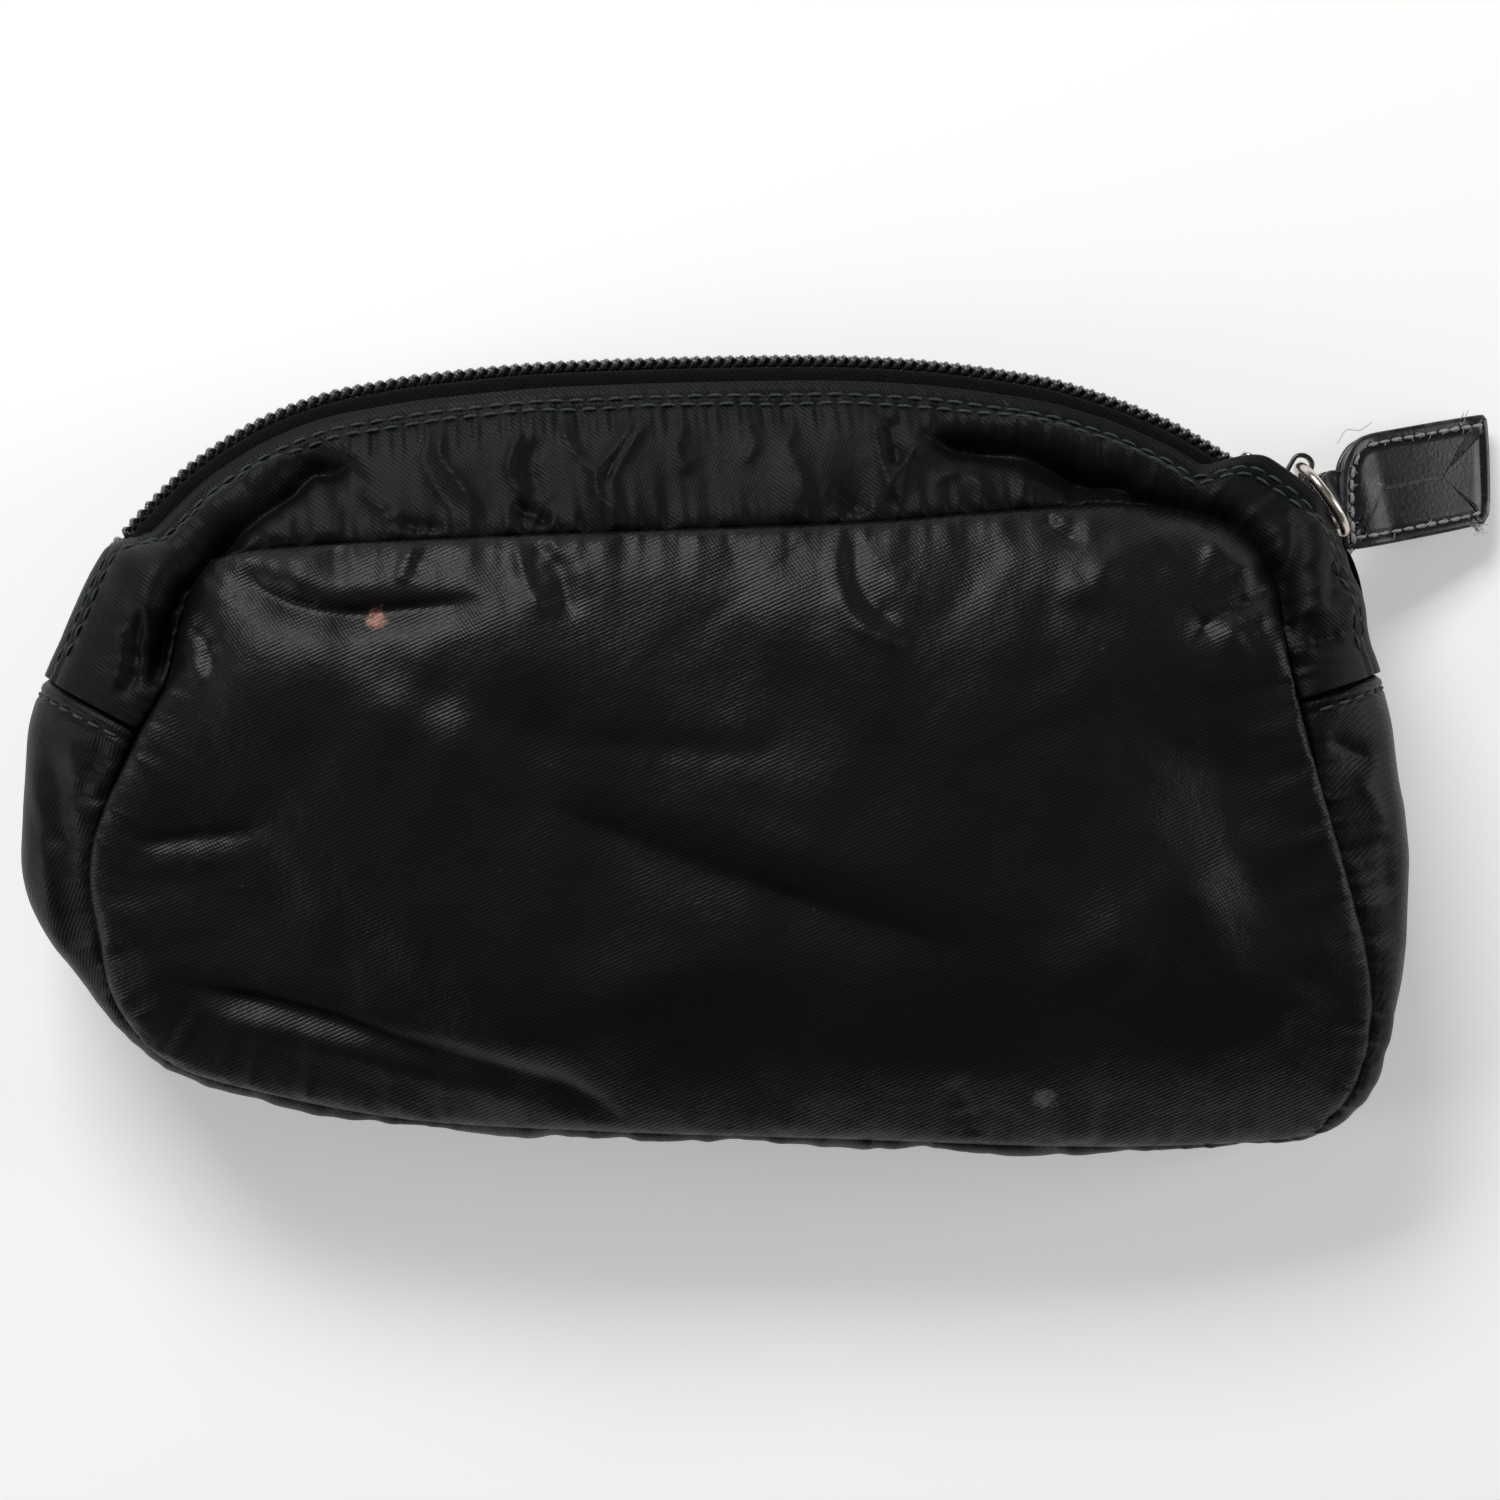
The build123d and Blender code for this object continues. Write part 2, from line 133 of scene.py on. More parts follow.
def point_at(path, s, t):
    """The point of a path at length t, where s holds the length to each of its points."""
    return np.array([np.interp(t, s, path[:, c]) for c in range(path.shape[1])])


def end_caps(rows, sides):
    """The two faces that close a stack of rings."""
    return [list(range(sides))[::-1], [(rows - 1) * sides + k for k in range(sides)]]


def share_of(p, point):
    s = lengths(p)
    return s[np.argmin(np.linalg.norm(p - np.asarray(point, float), axis=1))] / s[-1]


def near(points, path):
    """Distance of each point to a polyline, the share along it, and the side (+1 left of its direction)."""
    pts = np.asarray(points, float)
    a, b = path[:-1], path[1:]
    d = b - a
    seg = np.linalg.norm(d, axis=1)
    start = np.concatenate([[0], np.cumsum(seg)])
    best = np.full(len(pts), 1e9)
    share = np.zeros(len(pts))
    side = np.ones(len(pts))
    for k in range(len(a)):
        t = np.clip(((pts - a[k]) @ d[k]) / max(seg[k] ** 2, 1e-9), 0, 1)
        off = pts - (a[k] + t[:, None] * d[k])
        dist = np.linalg.norm(off, axis=1)
        hit = dist < best
        best[hit] = dist[hit]
        share[hit] = (start[k] + t[hit] * seg[k]) / start[-1]
        side[hit] = np.sign(d[k][0] * off[hit, 1] - d[k][1] * off[hit, 0])
    return best, share, side


def smooth01(x):
    x = np.clip(x, 0, 1)
    return x * x * (3 - 2 * x)


WAVES = [(rng.uniform(0, 2 * pi), rng.uniform(0, 2 * pi), rng.uniform(0, 2 * pi)) for _ in range(40)]


def wobble(x, pitch, seed=0):
    """A smooth pseudo-random wave along x with about that pitch, from -1 to 1."""
    total = 0.0
    for k, share in enumerate((1.0, 0.63, 1.71, 0.37)):
        phase = WAVES[(seed * 4 + k) % 40][0]
        total = total + np.sin(x * 2 * pi * share / pitch + phase) * (0.42 if k else 0.5)
    return total / 1.3


def lumps(x, y, pitch, seed=0):
    """Smooth pseudo-random unevenness over a plane, about -1 to 1."""
    total = 0.0
    for k in range(7):
        angle = WAVES[(seed * 7 + k) % 40][1]
        wave = (x * cos(angle) + y * sin(angle)) * 2 * pi / (pitch * (0.75 + 0.12 * k))
        total = total + np.sin(wave + WAVES[(seed * 7 + k) % 40][2])
    return total / 3.2


def plan_view(p):
    """Where points look to be, seen from above, at the height of the zip."""
    p = np.asarray(p, float)
    k = EYE_HEIGHT / (EYE_HEIGHT - (p[..., 2] - ZIP_Z))
    return EYE_XY + (p[..., :2] - EYE_XY) * k[..., None]


def under_view(xy, z):
    """The reverse of plan_view for points at height z."""
    k = EYE_HEIGHT / (EYE_HEIGHT - (np.asarray(z) - ZIP_Z))
    return EYE_XY + (xy - EYE_XY) / np.asarray(k)[..., None]


def normals(p, close_u=False):
    """Unit normals of a grid of points."""
    if close_u:
        du = np.roll(p, -1, 0) - np.roll(p, 1, 0)
    else:
        du = np.gradient(p, axis=0)
    dv = np.gradient(p, axis=1)
    n = np.cross(du, dv)
    return n / np.maximum(np.linalg.norm(n, axis=-1, keepdims=True), 1e-9)


# ---- The shape of the bag -------------------------------------------------------------------------------

# Front seam, from the left side seam clockwise over the top to the right side seam, and on round the bottom.
SEAM = [
    (-90.2, 3.9), (-86.6, 10.5), (-84.4, 20.5), (-81.6, 28.0), (-76.4, 31.4), (-60.5, 33.0), (-24.5, 34.7),
    (20.8, 36.4),
    (44.2, 38.2), (60, 39.2), (74, 38.6), (83.4, 34.4), (87.6, 27), (88.6, 19.5), (90.6, 10.2), (93.8, -2),
    (96.6, -11.7),
    (100, -24), (102, -33), (102.3, -42), (100.2, -51.0), (96.6, -56.0), (90, -60.0), (60, -61.3),
    (20, -60.1),
    (-20, -58.8), (-50, -56.8), (-76, -51.6), (-86.4, -47.6), (-91.8, -42.2), (-94.9, -36.7), (-96.9, -27.7),
    (-98.2, -20.3), (-97.7, -13.8), (-95.6, -7.5), (-92.9, -1.7),
]
# Outer edge of the bag, matched to the seam by the KEYS below.
EDGE = [
    (-104.6, 12.6), (-102.2, 18), (-99.5, 24.2), (-96.2, 30.5), (-91.9, 36.4), (-84, 44.4), (-76, 50.2),
    (-68.3, 54.2), (-60.5, 56.9),
    (-52.7, 58.5), (-45, 59.7), (-29, 61.3), (-13.6, 62.0), (2, 62.4), (17.7, 62.5), (33.3, 61.7),
    (48.9, 59.6),
    (56.8, 57.7), (64.6, 55.0), (72.4, 51.6), (80.2, 47.0), (88, 42.0), (94, 36.8), (97.6, 30.5), (100.2, 24),
    (101.6, 18),
    (103.2, 13.2), (105, 5.5), (106.2, -2), (107.8, -13), (108, -20), (107.2, -36), (104.3, -49.5),
    (99.6, -56.6),
    (92, -60.6), (80, -61.6), (60, -62.6), (41, -62.6), (18, -61.2), (-5.8, -60.4), (-29, -59.6),
    (-45, -58.4),
    (-60.5, -56.6), (-76, -52.8), (-84.4, -49.2), (-92, -44.2), (-97.7, -38.0), (-101.8, -31.6),
    (-105.4, -25.2),
    (-107.6, -19), (-108.3, -12), (-107.9, -3), (-106.9, 5.5),
]
KEYS = [
    ((-90.2, 3.9), (-104.6, 12.6)), ((-84.4, 20.5), (-99.5, 24.2)), ((-81.6, 28.0), (-91.9, 36.4)),
    ((-76.4, 31.4), (-84, 44.4)),
    ((-60.5, 33.0), (-60.5, 56.9)), ((20.8, 36.4), (17.7, 62.5)), ((60, 39.2), (60.4, 56.4)),
    ((74, 38.6), (80.2, 47.0)),
    ((83.4, 34.4), (94, 36.8)), ((87.6, 27), (99.4, 26)), ((90.6, 10.2), (103.2, 13.2)),
    ((100, -24), (108, -23)),
    ((102.3, -42), (106.2, -44)), ((96.6, -56.0), (99.6, -56.6)), ((60, -61.3), (60, -62.6)),
    ((-20, -58.8), (-20, -60)),
    ((-76, -51.6), (-76.4, -52.6)), ((-91.8, -42.2), (-92, -44.2)), ((-96.9, -27.7), (-104, -28)),
    ((-97.7, -13.8), (-108.2, -11)),
]
FRONT_Z, SIDE_DROP, TOP_DROP, BOTTOM_DROP = 44.0, 8.0, 8.0, 16.0


def dome(x, y):
    """Height of the front panel before its folds."""
    drop = np.where(y > 0, TOP_DROP * np.abs(y / 38.0) ** 3, BOTTOM_DROP * np.abs(y / 58.0) ** 3)
    return FRONT_Z - SIDE_DROP * np.abs(x / 100.0) ** 3 - drop


N_LOOP = 1600
seam_flat = curve(SEAM, N_LOOP + 1, closed=True)
edge_loop = curve(EDGE, N_LOOP + 1, closed=True)
seam_z = dome(seam_flat[:, 0], seam_flat[:, 1]) - 0.4
seam_loop = under_view(seam_flat, seam_z)
key_seam = [share_of(seam_flat, a) for a, _ in KEYS] + [1.0]
key_edge = [share_of(edge_loop, b) for _, b in KEYS] + [1.0]
key_seam[0] = key_edge[0] = 0.0
TOP_END = key_seam[10]


def seam_at(share):
    return at_share(seam_loop, share)


def edge_at(share):
    return at_share(edge_loop, np.interp(share, key_seam, key_edge))


# Folds: path, half width, depth (negative for a ridge), and how quickly each end fades.
def fold(points, width, depth, sharp=1.0, fade=0.25, lean=0):
    return (curve(points, 26), width, depth, sharp, fade, lean)


TOP_FOLDS = [
    fold(
        [
            (-56, 47.0), (-58.2, 45.3), (-63.6, 45.8), (-68.3, 41.1), (-73.0, 37.2), (-78.5, 33.6),
            (-82.0, 28.7), (-86.0, 21.5), (-88.2, 16.0), (-88.6, 9.0)
        ],
        1.5, 4.4, 1.2, 0.12, 1
    ),
    fold([(-60, 43.3), (-66, 39.2), (-71, 35.4), (-76, 32.2)], 2.6, -1.2),
    fold(
        [(-62, 49.2), (-68.3, 45.6), (-74.0, 41.6), (-80.5, 36.6), (-85.6, 30.2), (-89.4, 22), (-91, 15)],
        2.8, -1.6
    ),
    fold([(-89.0, 23.5), (-91.2, 18.0), (-91.8, 11.7), (-93.3, 8.6)], 0.9, 1.5),
    fold([(-88.0, 24.7), (-89.3, 17.5), (-89.6, 11.5)], 0.9, -1.0),
    fold([(-92.6, 21.9), (-93.4, 13.5), (-94.8, 9.6)], 0.9, -0.9),
    fold([(-43.0, 51.8), (-43.3, 46.9), (-40.2, 42.2), (-36.0, 36.7)], 0.8, -0.85),
    fold([(-45.0, 50.6), (-45.8, 46.3), (-43.2, 41.2), (-40.0, 37.4)], 0.9, 0.5),
    fold([(-30.0, 51.7), (-32.4, 44.8), (-30.0, 40.0), (-28.6, 37.0)], 0.8, -0.9),
    fold([(-27.5, 50.0), (-29.2, 45.0), (-27.0, 40.0)], 0.9, 0.5),
    fold([(-24.6, 52.6), (-23.0, 48.5), (-19.1, 43.8), (-17.2, 40.0)], 0.7, -0.7),
    fold([(-12.0, 53.6), (-15.2, 48.2), (-18.8, 43.8), (-18.3, 39.9), (-14.4, 36.2)], 0.8, -1.1),
    fold([(-10.3, 52.6), (-14.4, 46.7), (-16.4, 42.2), (-14.8, 39.0)], 0.6, -0.6),
    fold([(-13.0, 50.6), (-16.6, 45.4), (-17.4, 41.6)], 0.7, 0.7),
    fold([(-31.8, 39.6), (-28.4, 37.8), (-25.5, 36.2)], 1.0, 1.5),
    fold([(-50.5, 36.6), (-46.0, 35.8), (-42.2, 35.3)], 0.9, 1.0),
    fold([(-56.5, 42.0), (-52.5, 38.6), (-51.0, 35.6)], 0.9, -0.6),
    fold([(-5.0, 52.6), (-6.2, 47.5), (-4.0, 43.5)], 0.9, -0.45),
    fold([(4.0, 53.0), (5.8, 48.5), (3.4, 44.8)], 1.0, -0.45),
    fold([(12.4, 52.8), (11.0, 48.0), (13.6, 42.0), (13.0, 38.5)], 1.0, -0.5),
    fold([(24.6, 54.2), (25.5, 47.7), (26.6, 42.7), (27.1, 39.0)], 0.9, -1.2),
    fold([(26.6, 53.2), (27.8, 48.0), (28.2, 44.0)], 0.9, 1.1),
    fold([(33.2, 48.8), (30.2, 46.9), (27.9, 42.4), (29.0, 38.9)], 0.9, -0.9),
    fold([(33, 42.4), (38, 44.2), (43, 40.6), (45.5, 38.5)], 0.9, -0.6),
    fold([(46, 43.0), (51, 42.2), (55.0, 40.2)], 1.0, -0.6),
    fold([(17.5, 41.8), (21.0, 39.6), (24.0, 38.0)], 0.9, 0.8),
    fold(
        [
            (31.0, 50.1), (38.8, 49.5), (47.4, 47.9), (54.4, 45.5), (58.6, 43.7), (63.4, 43.3), (66.5, 40.9),
            (71.6, 38.9), (78.6, 36.7), (83.3, 33.6), (86.7, 28.9), (88.0, 24.8), (88.3, 19.1)
        ],
        1.4, 4.4, 1.2, 0.10, -1
    ),
    fold([(35.0, 52.4), (44, 51.6), (54.0, 49.2), (63.5, 47.2), (72, 43.6), (80, 40.2)], 2.6, -1.6),
    fold([(90.4, 41.0), (92.4, 33.5), (92.9, 25.7), (93.4, 17.0)], 3.0, -2.4),
    fold([(88.7, 40.2), (89.8, 33.4), (89.2, 24.0), (89.7, 15.4)], 1.1, 1.2),
    fold([(96.6, 31.5), (95.6, 26), (94.6, 21.7)], 0.8, 0.8),
    fold([(98.6, 27.0), (98.2, 22.0), (97.4, 17.5)], 1.0, -0.6),
    fold([(92, 17.2), (96.0, 18.0), (99.4, 20.4)], 0.9, 0.7),
]
PANEL_FOLDS = [
    fold([(-46, -51), (-20, -40), (14, -27)], 7.0, -2.0, 1.0, 0.35),
    fold([(38, -46), (64, -30), (92, -8)], 6.5, -2.4, 1.0, 0.35),
    fold([(68, -58), (88, -42), (98, -22)], 4.5, -1.4, 1.0, 0.35),
    fold([(-14, 32), (-4, 14), (24, 2)], 10.0, 1.1, 1.0, 0.35),
    fold([(-90, -2), (-70, -24), (-40, -36)], 7.0, 1.4, 1.0, 0.35),
    fold([(34, 34), (58, 12), (62, -10)], 8.0, -1.4, 1.0, 0.35),
    fold(
        [
            (-75.4, 31.0), (-73.0, 28.0), (-69.9, 25.4), (-65.2, 23.4), (-57.4, 22.2), (-45.7, 23.2),
            (-33.9, 24.3)
        ],
        2.0, 2.2, 1.3, 0.25, -1
    ),
    fold([(-73.0, 31.0), (-66.0, 27.8), (-57.4, 26.4), (-47, 27.2)], 2.4, -0.7),
    fold([(-84.0, 21.3), (-79.6, 17.4), (-78.6, 11.7)], 1.3, 1.3),
    fold([(-86.2, 18.6), (-82.2, 14.6), (-81.2, 9.7)], 1.3, -0.7),
    fold([(-29.6, 34.3), (-25.6, 30.2), (-23.6, 23.4), (-24.2, 20.0)], 1.4, 0.9),
    fold([(-31.6, 34.0), (-29.4, 26.8), (-26.3, 20.8)], 1.0, -0.8),
    fold([(-27.4, 34.4), (-22.0, 30.0), (-20.4, 25.0)], 1.6, -0.35),
    fold([(-46.3, 34.0), (-48.8, 30.0), (-49.4, 26.0)], 0.9, -0.55),
    fold([(-44.3, 34.0), (-46.6, 30.0), (-47.2, 27.0)], 0.8, 0.4),
    fold([(-78.6, 23.3), (-63.6, 16.4), (-41.7, 5.5), (-24.5, -5.5)], 7.0, -1.6, 1.0, 0.3),
    fold([(-60.7, 17.2), (-45.9, 10.3), (-30.5, 3.4), (-20.5, -1.4)], 4.0, 1.2, 1.0, 0.3),
    fold([(-22.4, 2.4), (-2.7, 0.8), (13.0, 0.2)], 2.4, 0.6, 1.0, 0.3),
    fold([(-33.7, -5.8), (-10.5, -14.4), (6.7, -20.6), (28.6, -27.6), (46.2, -32.8)], 3.4, 1.7, 1.2, 0.3, -1),
    fold([(-25.7, -1.8), (-6.5, -9.4), (12.7, -16.1), (36.6, -23.1)], 4.0, -0.8, 1.0, 0.3),
    fold([(19.2, 36.2), (18.6, 29.7), (20.4, 22.7), (23.9, 19.2), (31.2, 16.6)], 1.6, -0.9),
    fold([(22.0, 35.8), (21.7, 28.9), (24.0, 23.9), (29.6, 19.5)], 1.2, 0.55),
    fold([(25.4, 35.6), (25.6, 30.5), (29.2, 26.0), (37.6, 23.2)], 2.2, -0.45),
    fold([(50.6, 38.4), (53.2, 35.2), (57.5, 32.8)], 0.9, 1.1),
    fold([(51.0, 25.0), (58.3, 26.2), (62.2, 31.0), (74.0, 35.6)], 2.4, -1.0, 1.0, 0.25),
    fold([(36.0, 33.6), (44.0, 27.0), (52.0, 22.4), (64.0, 22.0)], 4.0, 0.8, 1.0, 0.3),
    fold([(88.4, 26.2), (81.8, 23.5), (76.3, 20.3), (73.4, 16.6)], 1.1, 1.4),
    fold([(88.4, 22.2), (82.8, 20.2), (77.8, 16.8)], 1.8, -0.7),
    fold([(74.5, 35.0), (80.5, 30.5), (86.5, 27.0)], 1.6, -0.8),
    fold([(84.5, 16.0), (80.5, -2.0), (82.3, -18.4), (88, -34)], 7.0, 1.3, 1.0, 0.3),
    fold([(-92.5, -14.0), (-80.5, -12.8), (-68.9, -11.6)], 1.2, 0.9),
    fold([(-91.5, -17.4), (-80.5, -16.4), (-70.9, -15.2)], 1.8, -0.5),
    fold(
        [
            (-89.5, -34.6), (-78, -37.2), (-65.2, -39.9), (-49.6, -44.6), (-33, -48.6), (-23.5, -51.4),
            (-16.7, -55.5), (-12.3, -60.2)
        ],
        1.8, 1.9, 1.2, 0.2, -1
    ),
    fold([(-88.0, -39.6), (-65.2, -44.4), (-49.6, -48.8), (-31.7, -54.0), (-21.9, -58.2)], 2.4, -1.1),
    fold([(36.0, -50.4), (39.0, -55.2), (40.3, -61.8)], 1.4, 0.8),
    fold([(8.0, -46.0), (30.0, -49.0), (56.0, -49.8), (80.0, -49.0)], 5.0, -0.8, 1.0, 0.3),
    fold([(96.0, -38.0), (86.0, -46.0), (70.0, -55.0)], 3.0, 0.7, 1.0, 0.3),
]


def fold_height(plan, folds):
    """Total height of the folds at plan positions, valleys negative; a leaning fold is steep on one side."""
    total = np.zeros(len(plan))
    for k, (path, width, depth, sharp, fade, lean) in enumerate(folds):
        low, high = path.min(0) - 7 * width, path.max(0) + 7 * width
        inside = np.all((plan > low) & (plan < high), axis=1)
        if not inside.any():
            continue
        dist, share, side = near(plan[inside], path)
        ends = smooth01(share / fade) * smooth01((1 - share) / fade)
        wide = width * (1 + 0.45 * lean * side)
        core = np.exp(-((dist / wide) ** (2 / sharp)))
        skirt = np.exp(-((dist / (2.7 * wide)) ** 2))
        size = depth * (1 + 0.25 * wobble(share * 60 + 17 * k, 21, k % 8))
        total[inside] -= size * ends * (0.62 * core + 0.38 * skirt)
    return total


SINKS = [((60, 39.2), (88.6, 18.0), 3.2), ((-88.6, 7.2), (-74.0, 31.6), 3.0)]


def seam_sink(share, dist, reach):
    """How far the seam is drawn down into the deep creases at the two upper corners."""
    total = np.zeros(len(share))
    for first, last, depth in SINKS:
        low, high = share_of(seam_flat, first), share_of(seam_flat, last)
        along = (share - low) / (high - low)
        ends = smooth01(along / 0.3) * smooth01((1 - along) / 0.3)
        total += depth * ends * np.exp(-((dist / reach) ** 1.4))
    return total


def seam_pucker(arc, dist, pitch, size, reach, seed):
    """Gathers that run square to a seam and die out away from it."""
    wave = wobble(arc, pitch, seed)
    keep = 0.65 + 0.35 * wobble(arc, pitch * 6.3, seed + 2)
    return size * wave * keep * np.exp(-((dist / reach) ** 1.2))


# ---- Front and back panels ------------------------------------------------------------------------------

CORNERS = [(-79.6, 30.0), (85.6, 31.6), (99.0, -53.2), (-88.4, -46.0)]
LINING_MIDDLE = np.array([2.0, -11.0])


def panel_grid(nu, nv, loop):
    """A grid of plan points that fills the seam line, blended from its four sides."""
    shares = [share_of(seam_flat, c) for c in CORNERS]
    u, v = np.linspace(0, 1, nu), np.linspace(0, 1, nv)
    tl, tr, br, bl = shares
    top = at_share(loop, tl + (tr - tl) * u)
    right = at_share(loop, br + (tr - br) * v)
    bottom = at_share(loop, bl + (br - bl) * u)
    left = at_share(loop, (bl + (tl + 1 - bl) * v) % 1.0)
    U, V = u[:, None, None], v[None, :, None]
    ruled = (1 - V) * bottom[:, None] + V * top[:, None] + (1 - U) * left[None] + U * right[None]
    low = (1 - U) * (1 - V) * bottom[0] + U * (1 - V) * bottom[-1]
    corners = low + (1 - U) * V * top[0] + U * V * top[-1]
    return ruled - corners


def panel_height(xy):
    """Height of the front panel's outer face, with its folds and gathers, at plan points."""
    z = dome(xy[:, 0], xy[:, 1])
    seen = plan_view(np.column_stack([xy, z]))
    dist, share, _ = near(xy, seam_loop[::5])
    arc = share * lengths(seam_loop)[-1]
    inner = smooth01(dist / 3.0)
    height = fold_height(seen, PANEL_FOLDS) * (0.35 + 0.65 * inner)
    height += 1.1 * lumps(seen[:, 0], seen[:, 1], 58, 1) * smooth01(dist / 16)
    height += 0.30 * lumps(seen[:, 0], seen[:, 1], 23, 3) * smooth01(dist / 8)
    height += 0.07 * lumps(seen[:, 0], seen[:, 1], 9, 5) * smooth01(dist / 5)
    height += seam_pucker(arc, dist, 7.4, 0.55, 5.5, 1) * smooth01(dist / 1.2)
    height += seam_pucker(arc, dist, 15.0, 0.55, 9.0, 4) * smooth01(dist / 2.0)
    height += 0.28 * wobble(arc, 3.1, 8) * np.exp(-((dist / 2.4) ** 1.5)) * smooth01(dist / 0.5)
    height -= seam_sink(share, dist, 3.2)
    return z + height - 1.15 * np.exp(-dist / 0.75)


def build_front_panel():
    plan = panel_grid(300, 160, seam_loop)
    z = panel_height(plan.reshape(-1, 2)).reshape(plan.shape[:2])
    return grid_mesh("shell_front", np.dstack([plan, z]))


def build_panel_lining(front):
    """The lining sewn inside a panel: the same sheet, smaller and a little way inside it."""
    plan = panel_grid(120, 64, seam_loop)
    plan = LINING_MIDDLE + (plan - LINING_MIDDLE) * np.array([0.93, 0.87])
    if front:
        z = panel_height(plan.reshape(-1, 2)).reshape(plan.shape[:2]) - 1.4
    else:
        z = 2.0 + 0.3 * lumps(plan[..., 0], plan[..., 1], 30, 2)
    return grid_mesh(
        "inside_front" if front else "inside_back", np.dstack([plan, z]), flip=front
    )


def build_band_lining(name, points, norms, rows, flip):
    """The lining of a band, inside its cloth."""
    p = points[::3, rows] - norms[::3, rows] * 1.3
    return grid_mesh(name, p, flip=flip)


def build_binding(front):
    """Tape folded over the raw edges inside a panel seam."""
    base = resample(seam_loop, 501)[:-1]
    d = unit(np.roll(base, -1, 0) - np.roll(base, 1, 0))
    inward = np.column_stack([d[:, 1], -d[:, 0]])
    ring = []
    for inset, drop in ((1.6, 0.0), (3.5, -0.15), (5.6, 0.0), (5.6, 0.9), (3.5, 1.0), (1.6, 0.9)):
        xy = base + inward * inset
        z = panel_height(xy) - 1.8 - drop if front else 1.7 + drop + 0.0 * xy[:, 0]
        ring.append(np.column_stack([xy, z]))
    name = "binding_front" if front else "binding_back"
    return grid_mesh(name, np.stack(ring, 1), close_u=True, close_v=True, flip=front)


def build_back_panel():
    plan = panel_grid(180, 90, seam_loop)
    shape = plan.shape[:2]
    xy = plan.reshape(-1, 2)
    dist, share, _ = near(xy, seam_loop[::5])
    arc = share * lengths(seam_loop)[-1]
    z = 0.35 + 0.3 * lumps(xy[:, 0], xy[:, 1], 40, 2) * smooth01(dist / 10)
    z += 0.9 * np.exp(-dist / 1.6) + 0.5 * np.abs(seam_pucker(arc, dist, 8.0, 0.8, 7.0, 5))
    z = np.maximum(z, 0.06)
    return grid_mesh("shell_back", np.column_stack([xy, z]).reshape(*shape, 3), flip=True)


# ---- Upper band: the two halves that meet at the zip ----------------------------------------------------

LIP = 5.0
WEB = 2.3
OVERHANG = 1.5
ROW_SETBACKS = (2.0, 3.4)
SIDE_ROW = 2.4


def lip_setback(x_edge, front):
    """How far the cloth's folded edge stands back from the outer edge; the front overhangs the slider."""
    back = LIP * smooth01((x_edge + 95.5) / 5.0)
    if front < 0:
        return back * smooth01((97.0 - x_edge) / 6.0)
    over = OVERHANG * smooth01((x_edge - 78) / 7.0) * smooth01((98 - x_edge) / 8.0)
    return back * smooth01((84.0 - x_edge) / 8.0) - over


def lip_open(x_edge):
    """1 where the two halves stand apart for the zip, 0 where they are one closed piece."""
    return smooth01((x_edge + 95.5) / 5.0) * smooth01((98.0 - x_edge) / 6.5)


